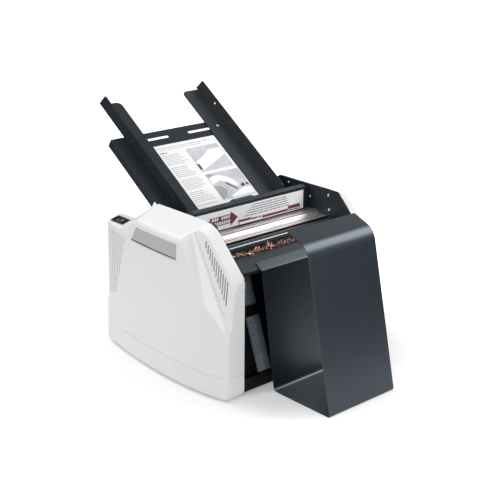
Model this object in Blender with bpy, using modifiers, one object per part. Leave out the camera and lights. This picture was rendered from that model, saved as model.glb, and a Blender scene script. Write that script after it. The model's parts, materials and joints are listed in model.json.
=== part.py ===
"""Tabletop paper folding machine.

Two white side covers stand on steel side plates.  Between the plates lie the feed tray with its
sliding paper guides, the feed roller, four fold rollers driven by gears inside the left cover,
and two fold plates with paper stops.  A bent sheet stacker stands in front.
Metres, +Z up, the front of the machine towards -Y, x measured from the middle plane.
"""

import math

import bmesh
import bpy
from mathutils import Matrix, Vector

# Fits and sheet
seat_gap = 0.0003
sheet = 0.0015
cut_overrun = 0.004
round_steps = 4
ring_steps = 24
bush_steps = 16

# Side plates and the space between them
plate_inner_half = 0.1365
plate_thickness = 0.0018
floor_clearance = 0.003

# Side covers: profile seen from the side (y from the front face, z from the table); the other
# places of the profile, and what stands between the covers, are shares of these two
cover_depth = 0.329
cover_height = 0.2715
cover_front_height_share = 0.737753
cover_slope_run_share = 0.21307
cover_flat_end_share = 0.659574
platform_start_share = 0.848024
platform_height_share = 0.850829
cover_bottom_radius = 0.007
cover_front_radius = 0.012
cover_brow_radius = 0.045
cover_top_radius = 0.010
platform_fillet = 0.008
platform_radius = 0.010
cover_heel_radius = 0.012

# Side covers: how far they stand out, and how their surfaces fall outwards
cover_wall = 0.0025
cover_width = 0.0541
cover_peak_share = 0.364742
cover_front_loss_share = 0.288355
cover_rear_loss_share = 0.393715
cover_lean_share = 0.020
cover_edge_radius = 0.006
cover_edge_steps = 3
front_fall_share = 0.55
top_fall_share = 0.457
platform_fall_share = 0.30
cover_station_shares = (0.0, 0.10, 0.22, 0.36, 0.50, 0.66, 0.84, 1.0)

# Rear band of the cover, stepped in around the grille
band_depth = 0.0022
band_ramp = 0.0015
band_top_share = (0.74772, 0.828729)
band_bottom_share = (0.902736, 0.309392)

# Front vent channel: a groove between the outer face and the front slope, each line's ends as
# shares of the cover's width, depth and height
valley_top_share = (0.462107, 0.267477, 0.946593)
valley_bottom_share = (0.619224, -0.00304, 0.438306)
ridge_top_share = (0.850277, 0.279635, 0.908287)
ridge_bottom_share = (0.683919, 0.0, 0.412523)
brow_top_share = (0.369686, 0.206687, 0.953959)
brow_bottom_share = (0.369686, 0.018237, 0.71639)
channel_stretch = 3.2
vent_count = 11
vent_width = 0.0022
vent_first_share = 0.205167
vent_last_share = 0.048632
vent_top_margin = 0.0205
vent_bottom_margin = 0.0160

# Rear grille, seam and plate recess on the cover's outer face
grille_count = 7
grille_groove = 0.0034
grille_front_top_share = 0.790274
grille_front_bottom_share = 0.902736
grille_rear_share = 0.945289
grille_top_share = 0.769797
grille_bottom_share = 0.353591
grille_recess = 0.0008
grille_depth = 0.0018
seam_height_share = 0.149171
seam_width = 0.0011
seam_depth = 0.0007
seam_end_share = 0.796353
plate_recess_front_share = 0.325228
plate_recess_rear_low_share = 0.714286
plate_recess_rear_high_share = 0.662614
plate_recess_low_share = 0.782689
plate_recess_high_share = 0.882136
plate_recess_depth = 0.0014
name_plate_thickness = 0.0010

# Bosses of the covers, each with a barbed peg that snaps through the side plate
boss_radius = 0.0050
peg_radius = 0.0020
peg_barb_radius = 0.0028
peg_barb = 0.0020
boss_shares = ((0.097264, 0.12523), (0.243161, 0.552486), (0.911854, 0.184162), (0.899696, 0.721915))
hole_steps = 10

# Power switch on the platform
switch_from_inner_share = 0.341959
switch_share = 0.904255
switch_width = 0.0180
switch_length = 0.0340
switch_rim = 0.0022
switch_rim_height = 0.0012
switch_body_depth = 0.0160
switch_well_depth = 0.0105
rocker_half_travel = math.radians(7)
rocker_axis_depth = 0.0022
rocker_thickness = 0.0062
rocker_crown = 0.0014

# Feed tray
tray_slope = math.radians(34.4)
tray_ref_share = (0.683283, 0.993738)
tray_rise = 0.149
tray_nip_gap = 0.0187
tray_flange = 0.0155
tray_flange_start = 0.004
tray_slot_u = 0.133
tray_slot_width = 0.005
tray_slot_inner = 0.0220
tray_slot_margin = 0.0365
card_margin = 0.0010
card_low_u = -0.0380
card_high_u = 0.1150
card_thickness = 0.0004

# Paper guides
guide_margin = 0.0283
guide_thickness = 0.0015
guide_flange = 0.0387
guide_wall_height = 0.0235
guide_low_u = -0.0470
guide_high_u = 0.2330
guide_end_radius = 0.010
guide_tip_cut = 0.006
guide_hole_radius = 0.0022
guide_hole_shares = (0.16, 0.42, 0.62, 0.80)
guide_stud_from_wall = 0.0185
guide_stud_radius = 0.0020
guide_lift = 0.0010
knob_radius = 0.0090
knob_height = 0.0080
knob_lobes = 8
knob_lobe_depth = 0.0009

# Feed roller and separator pad
feed_roller_radius = 0.0180
feed_roller_half_width = 0.0200
feed_hub_half_width = 0.0270
feed_hub_radius = 0.0075
feed_roller_share = 0.483283
pad_thickness = 0.0022
pad_half_width = 0.0140
pad_length = 0.0220
pad_clearance = 0.0004

# Fold rollers
roller_radius = 0.0141
roller_spacing = 0.0285
roller_margin = 0.0085
shaft_radius = 0.0040
shaft_left_reach = 0.0140
shaft_right_reach = 0.0042
nip_share = 0.340578
exit_roller_turn = math.radians(165)
rear_plate_slope = math.radians(18)
bearing_radius = 0.0070
bearing_plate_thickness = 0.0020
bearing_margin = 0.0110
bearing_depth = 0.0030
bush_play = 0.0004

# Gears, all in one plane outside the left plate
gear_module = 0.0015
roller_teeth = 19
feed_teeth = 16
idler_teeth = 30
reduction_teeth = 48
pinion_teeth = 12
gear_thickness = 0.0070
gear_offset = 0.0027
tooth_tip_share = 0.85
tooth_root_share = 1.15
tooth_tip_width_share = 0.22
tooth_root_width_share = 0.56
reduction_direction = math.radians(-45)
pinion_direction = math.radians(-10)
stud_radius = 0.0035
stud_head_radius = 0.0060
stud_head = 0.0015
gear_web_inset = 0.0025
gear_hub_margin = 0.0045

# Motor
motor_radius = 0.0320
motor_length = 0.1050
motor_cap_radius = 0.0290
motor_cap_length = 0.0060
motor_boss_radius = 0.0110
motor_shaft_radius = 0.0030
motor_rib_count = 12
motor_plain_end = 0.0080

# Label panel above the rollers
panel_roller_gap = 0.0020
panel_rise = 0.0246
panel_top_share = 0.994475
panel_return = 0.0100
panel_margin = 0.0110
panel_bend_radius = 0.0025
label_rise = 0.0010
label_high_share = 0.968692
label_margin = 0.0050
label_thickness = 0.0003
carrier_rise = 0.0020
carrier_high_share = 0.968692
carrier_notch_rise = 0.0065
carrier_notch_half = 0.0230

# Stainless roller guard: its bends as steps (y, z) from the middle of the upper roller
guard_bends = ((0.0400, 0.0212), (0.0210, 0.0246), (0.0120, 0.0231), (0.0090, 0.0182), (-0.0075, 0.0178))
guard_bend_radius = 0.006
guard_thickness = 0.0010
exit_rod_radius = 0.0015
exit_rod_step = (-0.0110, 0.0134)

# Stacker
stacker_middle_x = -0.0152
stacker_half_width = 0.0737
stacker_front = -0.1410
stacker_rear = -0.0150
stacker_lip_bend_step = (-0.0595, -0.0157)
stacker_lip_length = 0.0178
stacker_lip_slope = math.radians(35.6)
stacker_hood_y = -0.0833
stacker_hood_share = 0.958379
stacker_hood_length = 0.0455
stacker_hood_slope = math.radians(20)
stacker_hood_radius = 0.0320
stacker_front_radius = 0.0030
stacker_rear_radius = 0.0080
stacker_lip_radius = 0.0030
hood_steps = 12

# Exit chute under the lip, and the tinsel across it
chute_low = 0.0060
chute_high = 0.0500
chute_flange = 0.0100
tinsel_along = 0.0365
tinsel_radius = 0.0014
tinsel_margin = 0.0095
tinsel_clip_length = 0.0070
tinsel_clip_height = 0.0060
tinsel_twists = 26

# Lower fold plate with scale and stop
fold_slope = math.radians(70)
fold_foot_y = 0.0075
fold_foot_z = 0.0290
fold_length_share = 0.604052
fold_margin = 0.0295
fold_gap = 0.0060
fold_slot_x = 0.0550
fold_slot_width = 0.0050
fold_slot_low = 0.0250
fold_slot_high = 0.1400
rail_start_share = 0.08
rail_end_share = 0.92
scale_inset = 0.0040
scale_width = 0.0280
scale_thickness = 0.0003
stop_along = 0.0995
stop_height = 0.0165
stop_depth = 0.0060
stop_margin = 0.0115
stop_lift = 0.0010
finger_width = 0.0036
finger_length = 0.0090
stop_stud_radius = 0.0018
stop_knob_radius = 0.0080
stop_knob_height = 0.0090

# Rear fold plate under the tray
rear_fold_start = 0.0225
rear_fold_length_share = 0.474164
rear_slot_low = 0.0500
rear_slot_high = 0.1400
rear_stop_along = 0.1150

# Base, rear panel, rods, feet
base_front_y = 0.0050
base_front_z = 0.0280
base_rear_z = 0.0270
base_bottom_z = 0.0040
base_bend_radius = 0.002
rear_panel_inset = 0.0070
rear_panel_low_share = 0.033149
rear_panel_high_share = 0.751381
louvre_count = 6
louvre_length = 0.0700
louvre_height = 0.0035
louvre_pitch = 0.0110
louvre_low_share = 0.368324
louvre_x = 0.0450
inlet_margin = 0.0415
inlet_share = 0.220994
inlet_width = 0.0300
inlet_height = 0.0240
inlet_depth = 0.0200
inlet_rim = 0.0030
inlet_rim_depth = 0.0022
inlet_well = 0.0150
inlet_pin = 0.0020
inlet_pin_spread = 0.0070
rod_radius = 0.0040
rod_shares = ((0.151976, 0.184162), (0.881459, 0.184162))
tray_rod_shares = (-0.45, -0.14)
rod_spigot_radius = 0.0026
rod_head_radius = 0.0045
rod_head = 0.0018
foot_radius = 0.0100
foot_height = 0.0037
foot_margin = 0.0245
foot_front_share = 0.079027
foot_rear_share = 0.911854
foot_steps = 20

# Rivets that show on the inner face of the right side plate
rivet_shares = ((0.580547, 0.965009), (0.416413, 0.917127), (0.279635, 0.957643), (0.270517, 0.86372))
rivet_radius = 0.0034
rivet_height = 0.0014

# Plain colours, roughness and metal share of each finish
finishes = {
    "white_plastic": ((0.80, 0.81, 0.80), 0.42, 0.0),
    "grey_plastic": ((0.55, 0.56, 0.56), 0.45, 0.0),
    "black_sheet": ((0.030, 0.034, 0.042), 0.38, 0.0),
    "stacker_sheet": ((0.045, 0.055, 0.070), 0.33, 0.0),
    "black_plastic": ((0.015, 0.015, 0.017), 0.40, 0.0),
    "black_rubber": ((0.020, 0.022, 0.022), 0.75, 0.0),
    "green_rubber": ((0.060, 0.080, 0.075), 0.70, 0.0),
    "stainless": ((0.62, 0.61, 0.60), 0.22, 1.0),
    "steel": ((0.50, 0.50, 0.50), 0.32, 1.0),
    "zinc": ((0.60, 0.60, 0.62), 0.35, 1.0),
    "copper": ((0.75, 0.30, 0.16), 0.30, 1.0),
    "bronze": ((0.45, 0.30, 0.15), 0.40, 1.0),
    "nylon": ((0.75, 0.73, 0.66), 0.50, 0.0),
    "print_white": ((0.85, 0.86, 0.86), 0.35, 0.0),
    "print_grey": ((0.23, 0.25, 0.28), 0.40, 0.0),
}


def at_share(share):
    """A place in the side view, from its shares of the cover's depth and height."""
    return cover_depth * share[0], cover_height * share[1]


def inside_cover(share):
    """A point of the cover, from its shares of the cover's width, depth and height."""
    return cover_width * share[0], cover_depth * share[1], cover_height * share[2]


# Sizes worked out from the ones above
cover_front_height = cover_height * cover_front_height_share
cover_slope_run = cover_depth * cover_slope_run_share
cover_flat_end = cover_depth * cover_flat_end_share
platform_start = cover_depth * platform_start_share
platform_height = cover_height * platform_height_share
cover_peak = cover_depth * cover_peak_share
cover_front_loss = cover_width * cover_front_loss_share
cover_rear_loss = cover_width * cover_rear_loss_share
band_top_y, band_top_z = at_share(band_top_share)
band_bottom_y, band_bottom_z = at_share(band_bottom_share)
valley_top = inside_cover(valley_top_share)
valley_bottom = inside_cover(valley_bottom_share)
ridge_top = inside_cover(ridge_top_share)
ridge_bottom = inside_cover(ridge_bottom_share)
brow_top = inside_cover(brow_top_share)
brow_bottom = inside_cover(brow_bottom_share)
vent_first_y = cover_depth * vent_first_share
vent_last_y = cover_depth * vent_last_share
grille_front_top = cover_depth * grille_front_top_share
grille_front_bottom = cover_depth * grille_front_bottom_share
grille_rear = cover_depth * grille_rear_share
grille_top = cover_height * grille_top_share
grille_bottom = cover_height * grille_bottom_share
seam_height = cover_height * seam_height_share
seam_end = cover_depth * seam_end_share
plate_recess_front = cover_depth * plate_recess_front_share
plate_recess_rear_low = cover_depth * plate_recess_rear_low_share
plate_recess_rear_high = cover_depth * plate_recess_rear_high_share
plate_recess_low = cover_height * plate_recess_low_share
plate_recess_high = cover_height * plate_recess_high_share
boss_places = [at_share(share) for share in boss_shares]
rod_places = [at_share(share) for share in rod_shares]
rivet_places = [at_share(share) for share in rivet_shares]
switch_y = cover_depth * switch_share
switch_from_inner = cover_width * switch_from_inner_share
tray_ref_y, tray_ref_z = at_share(tray_ref_share)
feed_roller_y = cover_depth * feed_roller_share
nip_y = cover_depth * nip_share
tray_dip = (tray_ref_y - nip_y) / math.cos(tray_slope) - tray_nip_gap
panel_y = feed_roller_y - feed_roller_radius - panel_roller_gap
panel_top_z = cover_height * panel_top_share
label_high_z = cover_height * label_high_share
carrier_high_z = cover_height * carrier_high_share
stacker_hood_z = cover_height * stacker_hood_share
fold_length = cover_height * fold_length_share
rear_fold_length = cover_depth * rear_fold_length_share
rear_panel_y = cover_depth - rear_panel_inset
rear_panel_low_z = cover_height * rear_panel_low_share
rear_panel_high_z = cover_height * rear_panel_high_share
louvre_low_z = cover_height * louvre_low_share
inlet_z = cover_height * inlet_share
foot_front_y = cover_depth * foot_front_share
foot_rear_y = cover_depth * foot_rear_share
guide_half_space = plate_inner_half - guide_margin
tray_slot_outer = plate_inner_half - tray_slot_margin
card_half_width = guide_half_space - guide_flange - card_margin
roller_half_length = plate_inner_half - roller_margin
panel_half_width = plate_inner_half - panel_margin
label_half_width = panel_half_width - label_margin
tinsel_half_length = plate_inner_half - tinsel_margin
fold_half_width = plate_inner_half - fold_margin
stop_half_length = plate_inner_half - stop_margin
foot_inset_x = plate_inner_half - foot_margin
inlet_x = -(plate_inner_half - inlet_margin)
plate_outer_half = plate_inner_half + plate_thickness
cover_inner_half = plate_outer_half + seat_gap
inner_half_width = plate_inner_half - seat_gap
feed_down = Vector((-math.cos(tray_slope), -math.sin(tray_slope)))
tray_normal = Vector((-math.sin(tray_slope), math.cos(tray_slope)))
tray_ref = Vector((tray_ref_y, tray_ref_z))
gear_mid_x = -(plate_outer_half + gear_offset + gear_thickness / 2)
guide_reach_y = tray_ref_y + guide_high_u * math.cos(tray_slope) - guide_lift * math.sin(tray_slope)
machine_middle_y = (stacker_front + guide_reach_y) / 2


def clear_scene():
    for item in list(bpy.data.objects):
        bpy.data.objects.remove(item, do_unlink=True)


clear_scene()
machine = bpy.data.collections.new("paper_folding_machine")
cutters = bpy.data.collections.new("cutters")
bpy.context.scene.collection.children.link(machine)
bpy.context.scene.collection.children.link(cutters)


def empty(name, location=(0, 0, 0), turn=(0, 0, 0), parent=None):
    """A frame that pieces hang from."""
    made = bpy.data.objects.new(name, None)
    machine.objects.link(made)
    made.location = location
    made.rotation_euler = turn
    made.parent = parent
    return made


def keep(name, mesh, look, parent, location=(0, 0, 0), turn=(0, 0, 0)):
    """Puts a finished mesh into the machine as one named piece with its own material."""
    piece = bpy.data.objects.new(name, mesh)
    machine.objects.link(piece)
    piece.parent = parent
    piece.location = location
    piece.rotation_euler = turn
    color, roughness, metal = finishes[look]
    made = bpy.data.materials.new(name + "_finish")
    made.use_nodes = True
    shader = made.node_tree.nodes["Principled BSDF"]
    shader.inputs["Base Color"].default_value = (*color, 1)
    shader.inputs["Roughness"].default_value = roughness
    shader.inputs["Metallic"].default_value = metal
    piece.data.materials.append(made)
    return piece


def combined(base, tool_mesh, operation):
    """Two meshes in one frame, joined or cut one by the other."""
    body = bpy.data.objects.new("body", base)
    tool = bpy.data.objects.new("tool", tool_mesh)
    for item in (body, tool):
        cutters.objects.link(item)
    change = body.modifiers.new(operation.lower(), "BOOLEAN")
    change.operation = operation
    change.solver = "EXACT"
    change.object = tool
    result = evaluated(body)
    bpy.data.objects.remove(tool, do_unlink=True)
    return result


def boolean(piece, tool_mesh, operation, place=None):
    """Cuts or joins a piece with a tool that stands in the piece's own frame."""
    if place is not None:
        tool_mesh.transform(place)
    finish = piece.data.materials[0]
    piece.data = combined(piece.data, tool_mesh, operation)
    piece.data.materials.append(finish)


def evaluated(piece):
    """The piece's mesh as its modifiers leave it; the piece itself goes."""
    bpy.context.view_layer.update()
    graph = bpy.context.evaluated_depsgraph_get()
    mesh = bpy.data.meshes.new_from_object(piece.evaluated_get(graph))
    mesh.materials.clear()
    bpy.data.objects.remove(piece, do_unlink=True)
    return mesh


def mesh_of(name, bm):
    bmesh.ops.recalc_face_normals(bm, faces=bm.faces)
    if bm.calc_volume(signed=True) < 0:
        bmesh.ops.reverse_faces(bm, faces=bm.faces)
    mesh = bpy.data.meshes.new(name)
    bm.to_mesh(mesh)
    bm.free()
    return mesh


def box_mesh(low, high):
    low, high = Vector(low), Vector(high)
    bm = bmesh.new()
    place = Matrix.Translation((low + high) / 2) @ Matrix.Diagonal((*(high - low), 1))
    bmesh.ops.create_cube(bm, size=1, matrix=place)
    return mesh_of("box", bm)


def joined_mesh(parts):
    """Several meshes, each moved by its matrix, as one mesh of separate bodies."""
    bm = bmesh.new()
    for mesh, matrix in parts:
        copy = mesh.copy()
        copy.transform(matrix)
        bm.from_mesh(copy)
        bpy.data.meshes.remove(copy)
    mesh = bpy.data.meshes.new("group")
    bm.to_mesh(mesh)
    bm.free()
    return mesh


def rounded(corners, steps=round_steps, closed=True):
    """Corners (a, b, radius) become an outline whose corners are arcs."""
    outline = []
    last = len(corners) - 1
    for index, (a, b, radius) in enumerate(corners):
        at_end = not closed and index in (0, last)
        if radius == 0 or at_end:
            outline.append((a, b))
            continue
        here = Vector((a, b))
        to_before = (Vector(corners[index - 1][:2]) - here).normalized()
        to_after = (Vector(corners[(index + 1) % len(corners)][:2]) - here).normalized()
        half = to_before.angle(to_after) / 2
        middle = here + (to_before + to_after).normalized() * (radius / math.sin(half))
        first = here + to_before * (radius / math.tan(half)) - middle
        final = here + to_after * (radius / math.tan(half)) - middle
        sweep = math.atan2(first.x * final.y - first.y * final.x, first.dot(final))
        for step in range(steps + 1):
            spot = middle + Matrix.Rotation(sweep * step / steps, 2) @ first
            outline.append((spot.x, spot.y))
    return outline


def circle(a, b, radius, count=ring_steps, phase=0.0):
    turn = math.tau / count
    return [(a + radius * math.cos(phase + turn * step), b + radius * math.sin(phase + turn * step))
            for step in range(count)]


def slot(a_low, a_high, b, width, steps=4):
    """A round-ended slot along the first axis."""
    radius = width / 2
    ends = []
    for a, start in ((a_high - radius, -math.pi / 2), (a_low + radius, math.pi / 2)):
        for step in range(steps + 1):
            angle = start + math.pi * step / steps
            ends.append((a + radius * math.cos(angle), b + radius * math.sin(angle)))
    return ends


def flip(outline):
    """The same outline with its two axes exchanged."""
    return [(b, a) for a, b in outline]


def plate_mesh(outline, holes, thickness, plane="XY", middle=0.0):
    """A flat outline with holes, made as a filled 2D curve of the given thickness."""
    curve = bpy.data.curves.new("outline", "CURVE")
    curve.dimensions = "2D"
    curve.fill_mode = "BOTH"
    curve.extrude = thickness / 2
    for loop in [outline, *holes]:
        spline = curve.splines.new("POLY")
        spline.points.add(len(loop) - 1)
        for point, (a, b) in zip(spline.points, loop):
            point.co = (a, b, 0, 1)
        spline.use_cyclic_u = True
    holder = bpy.data.objects.new("outline", curve)
    cutters.objects.link(holder)
    mesh = evaluated(holder)
    bpy.data.curves.remove(curve)
    bm = bmesh.new()
    bm.from_mesh(mesh)
    bpy.data.meshes.remove(mesh)
    bmesh.ops.remove_doubles(bm, verts=bm.verts, dist=0.00001)
    axes = {
        "XY": Matrix.Identity(4),
        "YZ": Matrix(((0, 0, 1, 0), (1, 0, 0, 0), (0, 1, 0, 0), (0, 0, 0, 1))),
        "XZ": Matrix(((1, 0, 0, 0), (0, 0, -1, 0), (0, 1, 0, 0), (0, 0, 0, 1))),
    }
    shift = {"XY": (0, 0, middle), "YZ": (middle, 0, 0), "XZ": (0, middle, 0)}
    bmesh.ops.transform(bm, matrix=Matrix.Translation(shift[plane]) @ axes[plane], verts=bm.verts)
    return mesh_of("plate", bm)


def turned_mesh(profile, steps=ring_steps):
    """A body turned about Z from a profile of (radius, height), listed from top to bottom."""
    bm = bmesh.new()
    spots = [bm.verts.new((radius, 0, height)) for radius, height in profile]
    for first, second in zip(spots, spots[1:]):
        bm.edges.new((first, second))
    mesh = bpy.data.meshes.new("profile")
    bm.to_mesh(mesh)
    bm.free()
    holder = bpy.data.objects.new("profile", mesh)
    cutters.objects.link(holder)
    screw = holder.modifiers.new("turn", "SCREW")
    screw.steps = steps
    screw.render_steps = steps
    screw.use_merge_vertices = True
    screw.merge_threshold = 0.00001
    turned = evaluated(holder)
    bm = bmesh.new()
    bm.from_mesh(turned)
    bpy.data.meshes.remove(turned)
    bmesh.ops.remove_doubles(bm, verts=bm.verts, dist=0.000005)
    mesh = mesh_of("turned", bm)
    mesh.shade_smooth()
    mesh.set_sharp_from_angle(angle=math.radians(30))
    return mesh


def ring_profile(inner, outer, low, high):
    return [(inner, high), (outer, high), (outer, low), (inner, low), (inner, high)]


def bent_sheet_mesh(profile, thickness, x_low, x_high, side):
    """A sheet bent along X: the profile (y, z) swept in x, thickened to one side or both."""
    bm = bmesh.new()
    spots = [bm.verts.new((x_low, y, z)) for y, z in profile]
    edges = [bm.edges.new(pair) for pair in zip(spots, spots[1:])]
    swept = bmesh.ops.extrude_edge_only(bm, edges=edges)["geom"]
    moved = [item for item in swept if isinstance(item, bmesh.types.BMVert)]
    bmesh.ops.translate(bm, verts=moved, vec=(x_high - x_low, 0, 0))
    mesh = bpy.data.meshes.new("sheet")
    bm.to_mesh(mesh)
    bm.free()
    holder = bpy.data.objects.new("sheet", mesh)
    cutters.objects.link(holder)
    solid = holder.modifiers.new("wall", "SOLIDIFY")
    solid.thickness = thickness
    solid.offset = side
    solid.use_even_offset = True
    thick = evaluated(holder)
    bm = bmesh.new()
    bm.from_mesh(thick)
    bpy.data.meshes.remove(thick)
    return mesh_of("sheet", bm)


def hull_mesh(points):
    bm = bmesh.new()
    for point in points:
        bm.verts.new(point)
    hull = bmesh.ops.convex_hull(bm, input=bm.verts)
    bmesh.ops.delete(bm, geom=hull["geom_interior"] + hull["geom_unused"], context="VERTS")
    return mesh_of("hull", bm)


# Side covers

def piecewise(value, stops):
    """Straight-line interpolation through (place, amount) stops."""
    if value <= stops[0][0]:
        return stops[0][1]
    for (a, low), (b, high) in zip(stops, stops[1:]):
        if value <= b:
            return low + (high - low) * (value - a) / (b - a)
    return stops[-1][1]


def band_share(y, z):
    """0 on the main face, 1 on the band around the rear grille, with a short ramp between."""
    along = Vector((band_bottom_y - band_top_y, band_bottom_z - band_top_z)).normalized()
    across = Vector((-along.y, along.x))
    past_border = across.dot(Vector((y - band_top_y, z - band_top_z)))
    above_foot = z - band_bottom_z
    depth = min(past_border, above_foot)
    return min(max(depth / band_ramp, 0.0), 1.0)


def cover_reach(y, z):
    """How far the cover's outer face stands out from its inner edge."""
    if y < cover_peak:
        loss = cover_front_loss * ((cover_peak - y) / cover_peak) ** 2
    else:
        loss = cover_rear_loss * ((y - cover_peak) / (cover_depth - cover_peak)) ** 2
    return cover_width - loss - cover_lean_share * z - band_depth * band_share(y, z)


def cover_fall(y):
    stops = ((0, front_fall_share), (cover_slope_run, top_fall_share),
             (cover_flat_end, top_fall_share), (platform_start, platform_fall_share))
    return piecewise(y, stops)


def cover_outline():
    z_low = floor_clearance
    return rounded([
        (0, z_low, cover_bottom_radius),
        (0, cover_front_height, cover_front_radius),
        (cover_slope_run, cover_height, cover_brow_radius),
        (cover_flat_end, cover_height, cover_top_radius),
        (platform_start, platform_height, platform_fillet),
        (cover_depth, platform_height, platform_radius),
        (cover_depth, z_low, cover_heel_radius),
    ])


def inset_outline(outline, distance):
    """Every point moved inwards by the distance, for an outline that runs clockwise in (y, z)."""
    moved = []
    for index, spot in enumerate(outline):
        before = (Vector(spot) - Vector(outline[index - 1])).normalized()
        after = (Vector(outline[(index + 1) % len(outline)]) - Vector(spot)).normalized()
        turn_in = Vector((before.y + after.y, -before.x - after.x)).normalized()
        spread = max(math.cos(before.angle(after) / 2), 0.5)
        moved.append(tuple(Vector(spot) + turn_in * (distance / spread)))
    return moved


def cover_prism(side, outline, out_low, out_high, edge=0.0, falls=True):
    """A prism across the cover, from one depth to another, bowed and falling as the cover is."""
    bm = bmesh.new()
    spots = [bm.verts.new((out_low, y, z)) for y, z in outline]
    edges = [bm.edges.new((spots[index - 1], spots[index])) for index in range(len(spots))]
    face = bmesh.ops.edgeloop_fill(bm, edges=edges)["faces"][0]
    grown = bmesh.ops.extrude_face_region(bm, geom=[face])["geom"]
    outer = [item for item in grown if isinstance(item, bmesh.types.BMVert)]
    bmesh.ops.translate(bm, verts=outer, vec=(out_high - out_low, 0, 0))
    bmesh.ops.recalc_face_normals(bm, faces=bm.faces)
    if edge:
        rim = [item for item in bm.edges if item.verts[0] in outer and item.verts[1] in outer]
        bmesh.ops.bevel(bm, geom=rim, offset=edge, segments=cover_edge_steps, profile=0.5,
                        affect="EDGES", clamp_overlap=False)
    low = min(y for y, z in outline)
    high = max(y for y, z in outline)
    cuts = [((0, cover_depth * share, 0), (0, 1, 0)) for share in cover_station_shares]
    along = Vector((0, band_bottom_y - band_top_y, band_bottom_z - band_top_z)).normalized()
    across = Vector((0, -along.z, along.y))
    border = Vector((0, band_top_y, band_top_z))
    for reach in (0, band_ramp):
        cuts.append((border + across * reach, across))
        cuts.append(((0, 0, band_bottom_z + reach), (0, 0, 1)))
    for spot, normal in cuts:
        if normal == (0, 1, 0) and not low < spot[1] < high:
            continue
        whole = list(bm.verts) + list(bm.edges) + list(bm.faces)
        bmesh.ops.bisect_plane(bm, geom=whole, dist=0.000001, plane_co=spot, plane_no=normal)
    for vert in bm.verts:
        out, y, z = vert.co
        if out > cover_wall:
            out -= cover_width - cover_reach(y, z)
        if falls and out > 0:
            z = z * (1 - cover_fall(y) * out / cover_height)
        vert.co = (side * (cover_inner_half + out), y, z)
    return mesh_of("cover", bm)


def channel_hull(side, deeper=0.0):
    """The wedge that is cut away for the front vent channel, moved inwards by a wall if asked."""
    valley = [Vector(valley_top), Vector(valley_bottom)]
    ridge = [Vector(ridge_top), Vector(ridge_bottom)]
    brow = [Vector(brow_top), Vector(brow_bottom)]
    run = valley[1] - valley[0]
    for line in (valley, ridge, brow):
        line[0] -= run * 0.25
        line[1] += run * 0.9
    ridge_normal = run.cross(ridge[0] - valley[0]).normalized()
    brow_normal = run.cross(brow[0] - valley[0]).normalized()
    if ridge_normal.dot(brow[0] - valley[0]) < 0:
        ridge_normal.negate()
    if brow_normal.dot(ridge[0] - valley[0]) < 0:
        brow_normal.negate()
    shift = -(ridge_normal + brow_normal) * deeper / (1 + ridge_normal.dot(brow_normal))
    points = []
    for index in (0, 1):
        points.append(valley[index])
        points.append(valley[index] + (ridge[index] - valley[index]) * channel_stretch)
        points.append(valley[index] + (brow[index] - valley[index]) * channel_stretch)
        points.append(valley[index] + (ridge[index] + brow[index] - 2 * valley[index]) * channel_stretch)
    placed = []
    for point in points:
        spot = point + shift
        placed.append((side * (cover_inner_half + spot.x), spot.y, spot.z))
    return hull_mesh(placed)


def vent_slots(side):
    """Upright slots in the wall of the channel, longer towards the front."""
    boxes = []
    rise_share = (cover_height - cover_front_height) / cover_slope_run
    valley_share = (valley_top[2] - valley_bottom[2]) / (valley_top[1] - valley_bottom[1])
    for index in range(vent_count):
        y = vent_first_y + (vent_last_y - vent_first_y) * index / (vent_count - 1)
        top = cover_front_height + y * rise_share - vent_top_margin
        bottom = valley_bottom[2] + (y - valley_bottom[1]) * valley_share + vent_bottom_margin
        x_near = side * (cover_inner_half + brow_top[0] / 2)
        x_far = side * (cover_inner_half + cover_width)
        low = (min(x_near, x_far), y - vent_width / 2, bottom)
        high = (max(x_near, x_far), y + vent_width / 2, top)
        boxes.append((box_mesh(low, high), Matrix.Identity(4)))
    return joined_mesh(boxes)


def grille_recess_tool(side):
    """The shallow recess that the rear grille lies in, its front edge slanted as the band's is."""
    border = [(grille_front_top - grille_groove, grille_top + grille_groove),
              (grille_rear + grille_groove, grille_top + grille_groove),
              (grille_rear + grille_groove, grille_bottom - grille_groove),
              (grille_front_bottom - grille_groove, grille_bottom - grille_groove)]
    return cover_prism(side, border, cover_width - grille_recess, cover_width + cut_overrun, falls=False)


def grille_grooves(side):
    """Upright grooves of the rear grille, their feet following the slanted border."""
    grooves = []
    span = grille_rear - grille_front_top - grille_groove
    for index in range(grille_count):
        y = grille_front_top + span * index / (grille_count - 1)
        share = max((y - grille_front_top) / (grille_front_bottom - grille_front_top), 0)
        foot = grille_top - (grille_top - grille_bottom) * min(share + 0.12, 1)
        outline = [(y, foot), (y, grille_top), (y + grille_groove, grille_top), (y + grille_groove, foot)]
        prism = cover_prism(side, outline, cover_width - grille_depth, cover_width + cut_overrun, falls=False)
        grooves.append((prism, Matrix.Identity(4)))
    return joined_mesh(grooves)


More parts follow.
